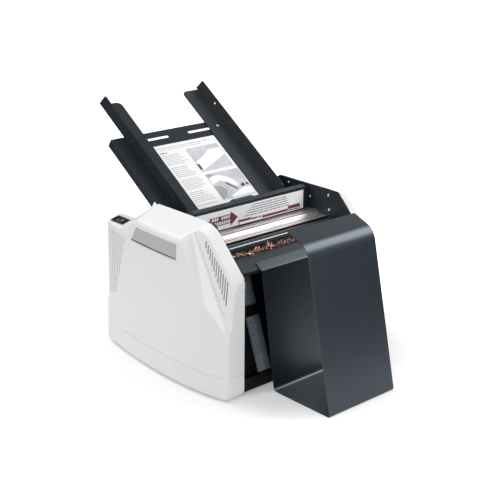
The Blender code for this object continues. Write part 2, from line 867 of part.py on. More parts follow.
def side_cover(name, side):
    """One moulded cover: bowed outer shell, open towards the side plate."""
    shell = cover_outline()
    piece = keep(name, cover_prism(side, shell, 0, cover_width, edge=cover_edge_radius),
                 "white_plastic", machine_frame)
    hollow = cover_prism(side, inset_outline(shell, cover_wall), -cut_overrun, cover_width - cover_wall,
                         edge=cover_edge_radius - cover_wall)
    hollow = combined(hollow, channel_hull(side, cover_wall), "DIFFERENCE")
    boolean(piece, hollow, "DIFFERENCE")
    boolean(piece, channel_hull(side), "DIFFERENCE")
    boolean(piece, vent_slots(side), "DIFFERENCE")
    boolean(piece, grille_recess_tool(side), "DIFFERENCE")
    boolean(piece, grille_grooves(side), "DIFFERENCE")
    seam = [(-cut_overrun, seam_height), (-cut_overrun, seam_height + seam_width),
            (seam_end, seam_height + seam_width), (seam_end, seam_height)]
    seam_tool = cover_prism(side, seam, cover_width - seam_depth, cover_width + cut_overrun, falls=False)
    boolean(piece, seam_tool, "DIFFERENCE")
    ends = sorted((side * (cover_inner_half - cut_overrun), side * (cover_inner_half + cover_width)))
    front_seam = box_mesh((ends[0], -cut_overrun, seam_height),
                          (ends[1], seam_depth, seam_height + seam_width))
    boolean(piece, front_seam, "DIFFERENCE")
    outwards = Matrix.Rotation(side * math.pi / 2, 4, "Y")
    bosses = []
    for y, z in boss_places:
        long = cover_reach(y, z) - cover_wall / 2
        through = -(seat_gap + plate_thickness + seat_gap)
        pillar = turned_mesh([(0, long), (boss_radius, long), (boss_radius, 0), (peg_radius, 0),
                              (peg_radius, through), (peg_barb_radius, through),
                              (peg_radius / 2, through - peg_barb), (0, through - peg_barb)], hole_steps)
        bosses.append((pillar, Matrix.Translation((side * cover_inner_half, y, z)) @ outwards))
    boolean(piece, joined_mesh(bosses), "UNION")
    return piece


def plate_recess_outline(margin):
    return [
        (plate_recess_front + margin, plate_recess_low + margin),
        (plate_recess_front + margin, plate_recess_high - margin),
        (plate_recess_rear_high - margin, plate_recess_high - margin),
        (plate_recess_rear_low - 2 * margin, plate_recess_low + margin),
    ]


def build_covers():
    left = side_cover("left_cover", -1)
    side_cover("right_cover", 1)
    recess = cover_prism(-1, plate_recess_outline(0), cover_width - plate_recess_depth,
                         cover_width + cut_overrun, falls=False)
    boolean(left, recess, "DIFFERENCE")
    body_half = (switch_width / 2 - switch_rim, switch_length / 2 - switch_rim)
    hole = box_mesh((-body_half[0] - seat_gap, -body_half[1] - seat_gap, -cover_wall * 3),
                    (body_half[0] + seat_gap, body_half[1] + seat_gap, cut_overrun))
    tilt = Matrix.Translation((switch_x, switch_y, switch_z)) @ Matrix.Rotation(-switch_tilt, 4, "Y")
    boolean(left, hole, "DIFFERENCE", tilt)
    floor = cover_width - plate_recess_depth + seat_gap
    plate = cover_prism(-1, plate_recess_outline(seat_gap), floor, floor + name_plate_thickness, falls=False)
    keep("blank_plate", plate, "grey_plastic", machine_frame)


def build_switch():
    """Bezel with a well, and the rocker on its cross axis inside it."""
    half_x = switch_width / 2
    half_y = switch_length / 2
    body_x = half_x - switch_rim
    body_y = half_y - switch_rim
    wall = switch_rim / 3
    rim_top = seat_gap + switch_rim_height
    bezel = keep("switch_bezel", box_mesh((-half_x, -half_y, seat_gap), (half_x, half_y, rim_top)),
                 "black_plastic", switch_frame)
    body = box_mesh((-body_x, -body_y, -switch_body_depth), (body_x, body_y, rim_top - switch_rim_height / 2))
    boolean(bezel, body, "UNION")
    well = box_mesh((-body_x + wall, -body_y + wall, -switch_well_depth),
                    (body_x - wall, body_y - wall, cut_overrun))
    boolean(bezel, well, "DIFFERENCE")
    reach = body_y - wall - seat_gap * 3
    top = rocker_axis_depth + rocker_crown
    low = top - rocker_thickness
    outline = [(-reach, top), (-reach * 0.96, low), (0, low - rocker_crown), (reach * 0.96, low),
               (reach, top), (0, top - rocker_crown)]
    rocker_half = body_x - wall - seat_gap
    rocker = plate_mesh(outline, [], rocker_half * 2, "YZ")
    keep("power_rocker", rocker, "black_plastic", switch_frame, (0, 0, -rocker_axis_depth),
         (-rocker_half_travel, 0, 0))


# Rollers and gears

def roller_centres():
    """Roller places in (y, z), worked out from the paper line of the tray."""
    nip = Vector((nip_y, tray_ref_z + (nip_y - tray_ref_y) * math.tan(tray_slope)))
    upper = nip + tray_normal * (roller_spacing / 2)
    lower = nip - tray_normal * (roller_spacing / 2)
    below = lower + Vector((math.sin(rear_plate_slope), -math.cos(rear_plate_slope))) * roller_spacing
    front = upper + Vector((math.cos(exit_roller_turn), math.sin(exit_roller_turn))) * roller_spacing
    feed_z_on_tray = tray_ref_z + (feed_roller_y - tray_ref_y) * math.tan(tray_slope)
    stand = (feed_roller_radius + pad_clearance + pad_thickness + seat_gap) / math.cos(tray_slope)
    feed = Vector((feed_roller_y, feed_z_on_tray + stand))
    return {"upper": upper, "lower": lower, "below": below, "front": front, "feed": feed}


centres = roller_centres()
guard_places = [centres["upper"] + Vector(step) for step in guard_bends]
exit_rod_y, exit_rod_z = centres["front"] + Vector(exit_rod_step)
stacker_lip_bend_y, stacker_lip_bend_z = centres["front"] + Vector(stacker_lip_bend_step)
panel_low_z = centres["upper"].y + panel_rise
label_low_z = panel_low_z + label_rise
carrier_low_z = panel_low_z + carrier_rise
carrier_notch_z = panel_low_z + carrier_notch_rise


def meet(first, second, first_reach, second_reach, side):
    """The point at given distances from two centres, on the chosen side of their line."""
    line = second - first
    gap = line.length
    along = (first_reach ** 2 - second_reach ** 2 + gap ** 2) / (2 * gap)
    height = math.sqrt(max(first_reach ** 2 - along ** 2, 0))
    unit = line / gap
    return first + unit * along + Vector((-unit.y, unit.x)) * height * side


def toward(start, distance, angle):
    return start + Vector((math.cos(angle), math.sin(angle))) * distance


centres["idler"] = meet(centres["upper"], centres["feed"], gear_module * (roller_teeth + idler_teeth) / 2,
                        gear_module * (feed_teeth + idler_teeth) / 2, 1)
centres["reduction"] = toward(centres["below"], gear_module * (roller_teeth + reduction_teeth) / 2,
                              reduction_direction)
centres["motor"] = toward(centres["reduction"], gear_module * (reduction_teeth + pinion_teeth) / 2,
                          pinion_direction)


def mesh_phase(centre_a, teeth_a, phase_a, centre_b, teeth_b):
    """The tooth angle of gear b that puts a gap of b at the tooth of a."""
    line = centre_b - centre_a
    theta = math.atan2(line.y, line.x)
    pitch = math.tau / teeth_a
    offset = (phase_a - theta + pitch / 2) % pitch - pitch / 2
    return theta + math.pi - offset * teeth_a / teeth_b + math.pi / teeth_b


phases = {"upper": 0.0}
phases["lower"] = mesh_phase(centres["upper"], roller_teeth, phases["upper"], centres["lower"], roller_teeth)
phases["below"] = mesh_phase(centres["lower"], roller_teeth, phases["lower"], centres["below"], roller_teeth)
phases["front"] = mesh_phase(centres["upper"], roller_teeth, phases["upper"], centres["front"], roller_teeth)
phases["idler"] = mesh_phase(centres["upper"], roller_teeth, phases["upper"], centres["idler"], idler_teeth)
phases["feed"] = mesh_phase(centres["idler"], idler_teeth, phases["idler"], centres["feed"], feed_teeth)
phases["reduction"] = mesh_phase(centres["below"], roller_teeth, phases["below"],
                                 centres["reduction"], reduction_teeth)
phases["motor"] = mesh_phase(centres["reduction"], reduction_teeth, phases["reduction"],
                             centres["motor"], pinion_teeth)


def gear_mesh(teeth, phase, bore):
    """A spur gear: straight-flanked teeth, a thinner web between rim and hub."""
    pitch_radius = gear_module * teeth / 2
    tip = pitch_radius + gear_module * tooth_tip_share
    root = pitch_radius - gear_module * tooth_root_share
    step = math.tau / teeth
    outline = []
    for index in range(teeth):
        middle = phase + step * index
        for radius, share in ((root, -tooth_root_width_share / 2), (tip, -tooth_tip_width_share / 2),
                              (tip, tooth_tip_width_share / 2), (root, tooth_root_width_share / 2)):
            angle = middle + step * share
            outline.append((radius * math.cos(angle), radius * math.sin(angle)))
    holes = [circle(0, 0, bore, hole_steps)] if bore else []
    return plate_mesh(outline, holes, gear_thickness, "YZ")


def build_gears():
    """Gears on the roller ends, the idler and the reduction gear on their studs."""
    shaft_gears = {"upper": "fold_roller_1_gear", "lower": "fold_roller_2_gear",
                   "below": "fold_roller_3_gear", "front": "fold_roller_4_gear", "feed": "feed_gear"}
    for key, node in shaft_gears.items():
        y, z = centres[key]
        teeth = feed_teeth if key == "feed" else roller_teeth
        gear = gear_mesh(teeth, phases[key], shaft_radius + seat_gap)
        keep(node, gear, "nylon", machine_frame, (gear_mid_x, y, z))
    for key, teeth in (("idler", idler_teeth), ("reduction", reduction_teeth)):
        y, z = centres[key]
        gear = keep(key + "_gear", gear_mesh(teeth, phases[key], stud_radius + bush_play), "nylon",
                    machine_frame, (gear_mid_x, y, z))
        rim = gear_module * (teeth / 2 - tooth_root_share) - gear_web_inset
        hub = stud_radius + gear_hub_margin
        depth = gear_thickness / 3
        web = turned_mesh(ring_profile(hub, rim, 0, depth * 2), ring_steps)
        lay = Matrix.Translation((-gear_thickness / 2 - depth, 0, 0)) @ Matrix.Rotation(math.pi / 2, 4, "Y")
        boolean(gear, web, "DIFFERENCE", lay)


def stud_mesh():
    """A headed stud that carries a gear, its axis local Z, pointing outwards from the plate."""
    outer_end = -gear_mid_x + gear_thickness / 2 + seat_gap
    inner_end = plate_inner_half + plate_thickness / 2
    profile = [(0, outer_end + stud_head), (stud_head_radius, outer_end + stud_head),
               (stud_head_radius, outer_end), (stud_radius, outer_end), (stud_radius, inner_end),
               (0, inner_end)]
    return turned_mesh(profile, hole_steps)


def roller_mesh(radius, half_length, hub_radius=0.0, hub_half_length=0.0):
    """Roller and shaft in one turned body; its axis is local Z, the gear end at -Z."""
    left = plate_outer_half + shaft_left_reach
    right = plate_outer_half + shaft_right_reach
    shaft = shaft_radius
    profile = [(0, right), (shaft, right)]
    if hub_radius:
        profile += [(shaft, hub_half_length), (hub_radius, hub_half_length), (hub_radius, half_length)]
    else:
        profile.append((shaft, half_length))
    edge = radius * 0.06
    profile += [(radius - edge, half_length), (radius, half_length - edge),
                (radius, -half_length + edge), (radius - edge, -half_length)]
    if hub_radius:
        profile += [(hub_radius, -half_length), (hub_radius, -hub_half_length), (shaft, -hub_half_length)]
    else:
        profile.append((shaft, -half_length))
    profile += [(shaft, -left), (0, -left)]
    return turned_mesh(profile, ring_steps)


def build_rollers():
    """Feed roller on its shaft and the four fold rollers, each on its own axis along X."""
    across = (0, math.pi / 2, 0)
    plain = roller_mesh(roller_radius, roller_half_length)
    for number, key in enumerate(("upper", "lower", "below", "front"), 1):
        y, z = centres[key]
        keep("fold_roller_%d" % number, plain.copy(), "black_rubber", machine_frame, (0, y, z), across)
    y, z = centres["feed"]
    feed = roller_mesh(feed_roller_radius, feed_roller_half_width, feed_hub_radius, feed_hub_half_width)
    keep("feed_roller", feed, "green_rubber", machine_frame, (0, y, z), across)


def wrapped(outline):
    """The convex outline around a set of points."""
    spots = sorted(set(outline))
    chains = []
    for order in (spots, spots[::-1]):
        chain = []
        for spot in order:
            while len(chain) > 1:
                first = Vector(chain[-1]) - Vector(chain[-2])
                second = Vector(spot) - Vector(chain[-2])
                if first.x * second.y - first.y * second.x > 0:
                    break
                chain.pop()
            chain.append(spot)
        chains.append(chain[:-1])
    return chains[0] + chains[1]


def build_bearings():
    """One moulded bearing plate outside each side plate, its five collars reaching through it."""
    around = []
    shafts = [centres[key] for key in ("upper", "lower", "below", "front", "feed")]
    for y, z in shafts:
        around += circle(y, z, bearing_margin, bush_steps)
    outline = wrapped(around)
    middle = cover_inner_half + bearing_plate_thickness / 2
    collar_end = plate_outer_half - bearing_depth
    length = middle - collar_end
    for side, name in ((-1, "left"), (1, "right")):
        flat = plate_mesh(outline, [], bearing_plate_thickness, "YZ", side * middle)
        bearing = keep(name + "_bearing_plate", flat, "nylon", machine_frame)
        collar_middle = side * (middle + collar_end) / 2
        collars = [circle(y, z, bearing_radius - seat_gap, bush_steps) for y, z in shafts]
        boolean(bearing, joined_mesh([(plate_mesh(loop, [], length, "YZ", collar_middle), Matrix.Identity(4))
                                      for loop in collars]), "UNION")
        bores = [circle(y, z, shaft_radius + bush_play, bush_steps) for y, z in shafts]
        bores.append(circle(*centres["idler"], stud_head_radius, bush_steps))
        boolean(bearing, joined_mesh([(plate_mesh(loop, [], length * 3, "YZ", side * middle),
                                       Matrix.Identity(4)) for loop in bores]), "DIFFERENCE")


# Side plates and what ties them

def rod_centres():
    """Tie rods low in the frame, and the two rods that carry the feed tray."""
    places = [Vector(place) for place in rod_places]
    drop = sheet + seat_gap + rod_radius
    for share in tray_rod_shares:
        along = tray_rise * share
        places.append(tray_ref - feed_down * along - tray_normal * drop)
    return places


def side_plate_outline():
    inset = 0.0012
    return rounded([
        (base_front_y - sheet, base_bottom_z, 0),
        (base_front_y - sheet, cover_front_height, 0),
        (cover_slope_run + inset / 2, cover_height - inset, 0.006),
        (cover_flat_end - inset, cover_height - inset, 0.004),
        (platform_start - inset, platform_height - inset, 0.004),
        (rear_panel_y + sheet, platform_height - inset, 0.004),
        (rear_panel_y + sheet, base_bottom_z, 0),
    ])


def build_side_plates():
    """Left and right plate with holes for bearings, rods and pegs; gear studs stand on the left one."""
    outline = side_plate_outline()
    common = [circle(*centres[key], bearing_radius) for key in ("upper", "lower", "below", "front", "feed")]
    common += [circle(*place, rod_spigot_radius + seat_gap, hole_steps) for place in rod_centres()]
    common += [circle(y, z, peg_radius + seat_gap, hole_steps) for y, z in boss_places]
    motor_hole = circle(*centres["motor"], motor_boss_radius + seat_gap)
    middle = plate_inner_half + plate_thickness / 2
    for side, name in ((-1, "left_side_plate"), (1, "right_side_plate")):
        holes = common + [motor_hole] if side < 0 else common
        plate = keep(name, plate_mesh(outline, [], plate_thickness, "YZ", side * middle), "black_sheet",
                     machine_frame)
        fixed = []
        if side < 0:
            for key in ("idler", "reduction"):
                lay = Matrix.Translation((0, *centres[key])) @ Matrix.Rotation(-math.pi / 2, 4, "Y")
                fixed.append((stud_mesh(), lay))
        else:
            top = plate_thickness / 2
            crown = top + rivet_height
            shoulder = top + rivet_height / 3
            rivet = turned_mesh([(0, crown), (rivet_radius * 0.6, crown), (rivet_radius, shoulder),
                                 (rivet_radius, 0), (0, 0)], hole_steps)
            for y, z in rivet_places:
                lay = Matrix.Translation((middle, y, z)) @ Matrix.Rotation(-math.pi / 2, 4, "Y")
                fixed.append((rivet, lay))
        boolean(plate, joined_mesh(fixed), "UNION")
        cuts = [(plate_mesh(loop, [], plate_thickness * 3, "YZ", side * middle), Matrix.Identity(4))
                for loop in holes]
        boolean(plate, joined_mesh(cuts), "DIFFERENCE")


def build_rods():
    """Tie rods whose stepped ends pass through both plates and are headed over outside."""
    half = plate_inner_half - seat_gap
    seat = plate_outer_half + seat_gap
    profile = [(0, seat + rod_head), (rod_head_radius, seat + rod_head), (rod_head_radius, seat),
               (rod_spigot_radius, seat), (rod_spigot_radius, half), (rod_radius, half),
               (rod_radius, -half), (rod_spigot_radius, -half), (rod_spigot_radius, -seat),
               (rod_head_radius, -seat), (rod_head_radius, -seat - rod_head), (0, -seat - rod_head)]
    rod = turned_mesh(profile, bush_steps)
    names = ("front_tie_rod", "rear_tie_rod", "lower_tray_rod", "upper_tray_rod")
    for name, place in zip(names, rod_centres()):
        keep(name, rod.copy(), "steel", machine_frame, (0, place.x, place.y), (0, math.pi / 2, 0))


def build_base():
    """Base pan, rear panel with louvres, power inlet and rubber feet."""
    pan = rounded([
        (base_front_y, base_front_z, 0),
        (base_front_y, base_bottom_z + sheet / 2, base_bend_radius),
        (rear_panel_y - sheet - seat_gap, base_bottom_z + sheet / 2, base_bend_radius),
        (rear_panel_y - sheet - seat_gap, base_rear_z, 0),
    ], 3, closed=False)
    keep("base_pan", bent_sheet_mesh(pan, sheet, -inner_half_width, inner_half_width, 0), "black_sheet",
         machine_frame)
    half = inner_half_width
    outline = [(-half, rear_panel_low_z), (half, rear_panel_low_z), (half, rear_panel_high_z),
               (-half, rear_panel_high_z)]
    holes = []
    for side in (-1, 1):
        for index in range(louvre_count):
            middle = louvre_x * side
            z = louvre_low_z + louvre_pitch * index
            holes.append(slot(middle - louvre_length / 2, middle + louvre_length / 2, z, louvre_height))
    hole_x = inlet_width / 2 - inlet_rim + seat_gap
    hole_z = inlet_height / 2 - inlet_rim + seat_gap
    holes.append([(inlet_x - hole_x, inlet_z - hole_z), (inlet_x + hole_x, inlet_z - hole_z),
                  (inlet_x + hole_x, inlet_z + hole_z), (inlet_x - hole_x, inlet_z + hole_z)])
    panel = plate_mesh(outline, holes, sheet, "XZ", rear_panel_y)
    keep("rear_panel", panel, "black_sheet", machine_frame)
    build_inlet()
    foot = turned_mesh([(0, foot_height), (foot_radius, foot_height), (foot_radius, foot_height * 0.3),
                        (foot_radius * 0.92, 0), (0, 0)], foot_steps)
    for side, hand in ((-1, "left"), (1, "right")):
        for y, end in ((foot_front_y, "front"), (foot_rear_y, "rear")):
            keep("foot_" + end + "_" + hand, foot.copy(), "black_rubber", machine_frame,
                 (side * foot_inset_x, y, 0))


def build_inlet():
    """A three-pin power inlet through the rear panel, its mouth to the rear."""
    face = rear_panel_y + sheet / 2 + seat_gap
    half_x = inlet_width / 2
    half_z = inlet_height / 2
    body_x = half_x - inlet_rim
    body_z = half_z - inlet_rim
    place = (inlet_x, 0, inlet_z)
    inlet = keep("power_inlet", box_mesh((-half_x, face, -half_z), (half_x, face + inlet_rim_depth, half_z)),
                 "black_plastic", machine_frame, place)
    body = box_mesh((-body_x, face - inlet_depth, -body_z), (body_x, face + inlet_rim_depth / 2, body_z))
    boolean(inlet, body, "UNION")
    wall = inlet_rim / 2
    well = box_mesh((-body_x + wall, face + inlet_rim_depth - inlet_well, -body_z + wall),
                    (body_x - wall, face + inlet_rim_depth + cut_overrun, body_z - wall))
    boolean(inlet, well, "DIFFERENCE")
    pins = []
    root = face + inlet_rim_depth - inlet_well - wall
    tip = face + inlet_rim_depth - wall
    for x, z in ((-inlet_pin_spread, 0), (0, inlet_pin), (inlet_pin_spread, 0)):
        pin = box_mesh((x - inlet_pin / 2, root, z - inlet_pin), (x + inlet_pin / 2, tip, z + inlet_pin))
        pins.append((pin, Matrix.Identity(4)))
    boolean(inlet, joined_mesh(pins), "UNION")


def build_motor():
    """The drive motor, hung on the left plate, and its shaft with the pinion."""
    y, z = centres["motor"]
    start = seat_gap
    can = motor_length
    profile = [(0, can + motor_cap_length), (motor_cap_radius * 0.4, can + motor_cap_length),
               (motor_cap_radius, can), (motor_radius, can), (motor_radius, start), (0, start)]
    motor = keep("motor", turned_mesh(profile, ring_steps), "steel", machine_frame, (-plate_inner_half, y, z),
                 (0, math.pi / 2, 0))
    boss_end = -(plate_thickness - seat_gap)
    boss = turned_mesh([(0, start * 2), (motor_boss_radius, start * 2), (motor_boss_radius, boss_end),
                        (0, boss_end)], ring_steps)
    boolean(motor, boss, "UNION")
    bore = turned_mesh([(0, can / 4), (motor_shaft_radius + bush_play, can / 4),
                        (motor_shaft_radius + bush_play, -cut_overrun), (0, -cut_overrun)], hole_steps)
    boolean(motor, bore, "DIFFERENCE")
    ribs = []
    for index in range(motor_rib_count):
        turn = Matrix.Rotation(math.tau * (index + 0.25) / motor_rib_count, 4, "Z")
        floor = motor_radius - motor_shaft_radius / 3
        groove = box_mesh((floor, -motor_shaft_radius / 2, motor_plain_end * 2),
                          (motor_radius + cut_overrun, motor_shaft_radius / 2, can - motor_plain_end))
        ribs.append((groove, turn))
    boolean(motor, joined_mesh(ribs), "DIFFERENCE")
    pinion = keep("motor_pinion", gear_mesh(pinion_teeth, phases["motor"], 0), "steel", machine_frame,
                  (gear_mid_x, y, z))
    inner = -gear_mid_x - plate_inner_half + can / 5
    outer = gear_thickness / 2 + seat_gap
    shaft = turned_mesh([(0, inner), (motor_shaft_radius, inner), (motor_shaft_radius, -outer), (0, -outer)],
                        hole_steps)
    boolean(pinion, shaft, "UNION", Matrix.Rotation(math.pi / 2, 4, "Y"))


# Feed tray, guides, card

def build_tray():
    """The sloping tray: flat plate with two slots and folded-down side edges."""
    half = inner_half_width
    outline = [(-half, -tray_dip), (half, -tray_dip), (half, tray_rise), (-half, tray_rise)]
    slots = [slot(tray_slot_inner, tray_slot_outer, tray_slot_u, tray_slot_width),
             slot(-tray_slot_outer, -tray_slot_inner, tray_slot_u, tray_slot_width)]
    tray = keep("feed_tray", plate_mesh(outline, [], sheet, "XY", -sheet / 2), "black_sheet", tray_frame)
    for side in (-1, 1):
        inner = side * (half - sheet)
        outer = side * half
        flange = box_mesh((min(inner, outer), tray_flange_start, -tray_flange),
                          (max(inner, outer), tray_rise, -sheet / 2))
        boolean(tray, flange, "UNION")
    lip = box_mesh((-half + sheet * 2, tray_rise - sheet, -tray_flange * 0.6),
                   (half - sheet * 2, tray_rise, -sheet / 2))
    boolean(tray, lip, "UNION")
    cuts = [(plate_mesh(loop, [], sheet * 3, "XY", -sheet / 2), Matrix.Identity(4)) for loop in slots]
    boolean(tray, joined_mesh(cuts), "DIFFERENCE")
    card = box_mesh((-card_half_width, card_low_u, seat_gap),
                    (card_half_width, card_high_u, seat_gap + card_thickness))
    keep("instruction_card", card, "print_white", tray_frame)
    foot = (tray_ref - Vector(centres["feed"])).dot(feed_down)
    pad = box_mesh((-pad_half_width, foot - pad_length / 2, seat_gap),
                   (pad_half_width, foot + pad_length / 2, seat_gap + pad_thickness))
    keep("separator_pad", pad, "black_rubber", tray_frame)


def knob_mesh(radius, height, bore):
    """A lobed clamp knob along Z, open for its stud."""
    outline = []
    for index in range(knob_lobes * 4):
        angle = math.tau * index / (knob_lobes * 4)
        swell = radius - knob_lobe_depth * (1 - math.cos(knob_lobes * angle)) / 2
        outline.append((swell * math.cos(angle), swell * math.sin(angle)))
    return plate_mesh(outline, [circle(0, 0, bore, hole_steps)], height, "XY", -height / 2)


def build_guides():
    """Two L-shaped paper guides that slide across the tray, each clamped by a knob below it."""
    for side, name in ((-1, "left"), (1, "right")):
        wall_inner = side * guide_half_space
        wall_middle = side * (guide_half_space + guide_thickness / 2)
        low_n = guide_lift
        top_n = guide_lift + guide_wall_height
        wall = rounded([
            (guide_low_u, low_n, 0),
            (guide_low_u, top_n, guide_end_radius),
            (guide_high_u - guide_tip_cut, top_n, guide_tip_cut / 2),
            (guide_high_u, low_n, 0),
        ])
        span = guide_high_u - guide_low_u
        hole_n = low_n + guide_wall_height * 0.55
        holes = [circle(guide_low_u + span * share, hole_n, guide_hole_radius, hole_steps)
                 for share in guide_hole_shares]
        guide = keep(name + "_paper_guide", plate_mesh(wall, [], guide_thickness, "YZ", wall_middle),
                     "black_sheet", tray_frame)
        near = wall_inner + side * guide_thickness / 2
        far = wall_inner - side * guide_flange
        flange = rounded([
            (near, guide_low_u, 0),
            (far, guide_low_u, guide_end_radius / 3),
            (far, guide_high_u - guide_tip_cut, guide_end_radius),
            (near, guide_high_u - guide_tip_cut, 0),
        ])
        boolean(guide, plate_mesh(flange, [], guide_thickness, "XY", low_n + guide_thickness / 2), "UNION")
        cuts = [(plate_mesh(loop, [], guide_thickness * 3, "YZ", wall_middle), Matrix.Identity(4))
                for loop in holes]
        boolean(guide, joined_mesh(cuts), "DIFFERENCE")
        stud_x = wall_inner - side * guide_stud_from_wall
        stud_low = -(sheet + seat_gap * 2 + knob_height)
        head_n = low_n + guide_thickness * 1.6
        neck_n = low_n + guide_thickness / 2
        stud = turned_mesh([(0, head_n), (guide_stud_radius * 1.8, head_n), (guide_stud_radius * 1.8, neck_n),
                            (guide_stud_radius, neck_n), (guide_stud_radius, stud_low), (0, stud_low)],
                           hole_steps)
        boolean(guide, stud, "UNION", Matrix.Translation((stud_x, tray_slot_u, 0)))
        knob = knob_mesh(knob_radius, knob_height, guide_stud_radius + bush_play)
        keep(name + "_guide_knob", knob, "black_plastic", tray_frame,
             (stud_x, tray_slot_u, -(sheet + seat_gap)))


# Panels over the rollers

def build_label_panel():
    """The folded panel with its white label, and the notched carrier that holds it."""
    middle_y = panel_y + sheet / 2
    profile = rounded([
        (middle_y, panel_low_z, 0),
        (middle_y, panel_top_z - sheet / 2, panel_bend_radius),
        (middle_y + panel_return, panel_top_z - sheet / 2, 0),
    ], 3, closed=False)
    keep("label_panel", bent_sheet_mesh(profile, sheet, -panel_half_width, panel_half_width, 0),
         "black_sheet", machine_frame)
    label_back = panel_y - seat_gap
    label = box_mesh((-label_half_width, label_back - label_thickness, label_low_z),
                     (label_half_width, label_back, label_high_z))
    keep("info_label", label, "print_white", machine_frame)
    half = inner_half_width
    notch = carrier_notch_half
    outline = [(-half, carrier_low_z), (half, carrier_low_z), (half, carrier_high_z), (notch, carrier_high_z),
               (notch, carrier_notch_z), (-notch, carrier_notch_z), (-notch, carrier_high_z),
               (-half, carrier_high_z)]
    behind = panel_y + sheet + seat_gap + sheet / 2
    keep("panel_carrier", plate_mesh(outline, [], sheet, "XZ", behind), "black_sheet", machine_frame)


def build_guard():
    """Stainless guard arched over the fold rollers, with a lip at its front edge."""
    radii = (0, guard_bend_radius * 2, guard_bend_radius, guard_thickness, 0)
    profile = rounded([(*place, radius) for place, radius in zip(guard_places, radii)], 4, closed=False)
    keep("roller_guard", bent_sheet_mesh(profile, guard_thickness, -inner_half_width, inner_half_width, 0),
         "stainless", machine_frame)
    half = inner_half_width
    rod = turned_mesh([(0, half), (exit_rod_radius, half), (exit_rod_radius, -half), (0, -half)], hole_steps)
    keep("exit_rod", rod, "stainless", machine_frame, (0, exit_rod_y, exit_rod_z), (0, math.pi / 2, 0))


# Stacker and exit

def stacker_profile():
    """Centre line of the bent sheet: lip, back wall, floor, front wall, hood."""
    half = sheet / 2
    lip = (math.cos(stacker_lip_slope), math.sin(stacker_lip_slope))
    hood = (math.cos(stacker_hood_slope), math.sin(stacker_hood_slope))
    return [
        (stacker_lip_bend_y + stacker_lip_length * lip[0],
         stacker_lip_bend_z + stacker_lip_length * lip[1], 0),
        (stacker_lip_bend_y, stacker_lip_bend_z, stacker_lip_radius),
        (stacker_rear - half, half, stacker_rear_radius),
        (stacker_front + half, half, stacker_front_radius),
        (stacker_hood_y + half, stacker_hood_z - half, stacker_hood_radius),
        (stacker_hood_y + half + stacker_hood_length * hood[0],
         stacker_hood_z - half + stacker_hood_length * hood[1], 0),
    ]


def build_stacker():
    profile = rounded(stacker_profile(), hood_steps, closed=False)
    mesh = bent_sheet_mesh(profile, sheet, -stacker_half_width, stacker_half_width, 0)
    keep("stacker", mesh, "stacker_sheet", machine_frame, (stacker_middle_x, 0, 0))


def build_chute():
    """Sloping exit plate under the stacker's lip, the tinsel stretched above it."""
    top = -(sheet / 2 + seat_gap * 1.3)
    middle = top - sheet / 2
    profile = [(chute_low, middle - chute_flange), (chute_low, middle), (chute_high, middle)]
    plate = bent_sheet_mesh(profile, sheet, -inner_half_width, inner_half_width, 0)
    chute = keep("exit_chute", plate, "black_sheet", chute_frame)
    clips = []
    for side in (-1, 1):
        low_x = side * (tinsel_half_length + seat_gap)
        high_x = low_x + side * tinsel_clip_length
        clips.append((box_mesh((min(low_x, high_x), tinsel_along - tinsel_radius * 2, middle),
                               (max(low_x, high_x), tinsel_along + tinsel_radius * 2,
                                top + tinsel_clip_height)), Matrix.Identity(4)))
    boolean(chute, joined_mesh(clips), "UNION")
    lift = top + seat_gap + tinsel_radius * 2
    points = tinsel_twists * 4
    curve = bpy.data.curves.new("tinsel", "CURVE")
    curve.dimensions = "3D"
    curve.bevel_depth = tinsel_radius * 0.55
    curve.bevel_resolution = 0
    curve.use_fill_caps = True
    spline = curve.splines.new("POLY")
    spline.points.add(points)
    for index, point in enumerate(spline.points):
        angle = math.tau * tinsel_twists * index / points
        x = -tinsel_half_length + 2 * tinsel_half_length * index / points
        point.co = (x, tinsel_radius * math.cos(angle), tinsel_radius * math.sin(angle), 1)
    holder = bpy.data.objects.new("tinsel", curve)
    cutters.objects.link(holder)
    twist = evaluated(holder)
    bpy.data.curves.remove(curve)
    bm = bmesh.new()
    bm.from_mesh(twist)
    bmesh.ops.remove_doubles(bm, verts=bm.verts, dist=0.000005)
    keep("copper_tinsel", mesh_of("tinsel", bm), "copper", chute_frame, (0, tinsel_along, lift))


# Fold plates

def fold_plates(prefix, frame, length, slot_low, slot_high, slot_places):
    """Two parallel sheets with the paper gap between them; the front one has slots."""
    half = fold_half_width
    outline = [(-half, 0), (half, 0), (half, length), (-half, length)]
    slots = [flip(slot(slot_low, slot_high, x, fold_slot_width)) for x in slot_places]
    keep(prefix + "_front", plate_mesh(outline, slots, sheet, "XY", -sheet / 2), "black_sheet", frame)
    wide = [(-inner_half_width, 0), (inner_half_width, 0), (inner_half_width, length),
            (-inner_half_width, length)]
    middle = -sheet * 1.5 - fold_gap
    back = keep(prefix + "_back", plate_mesh(wide, [], sheet, "XY", middle), "black_sheet", frame)
    rails = []
    for side in (-1, 1):
        edge = side * inner_half_width
        inner = side * (half + seat_gap)
        rails.append((box_mesh((min(edge, inner), length * rail_start_share, middle),
                               (max(edge, inner), length * rail_end_share, 0)), Matrix.Identity(4)))
    boolean(back, joined_mesh(rails), "UNION")


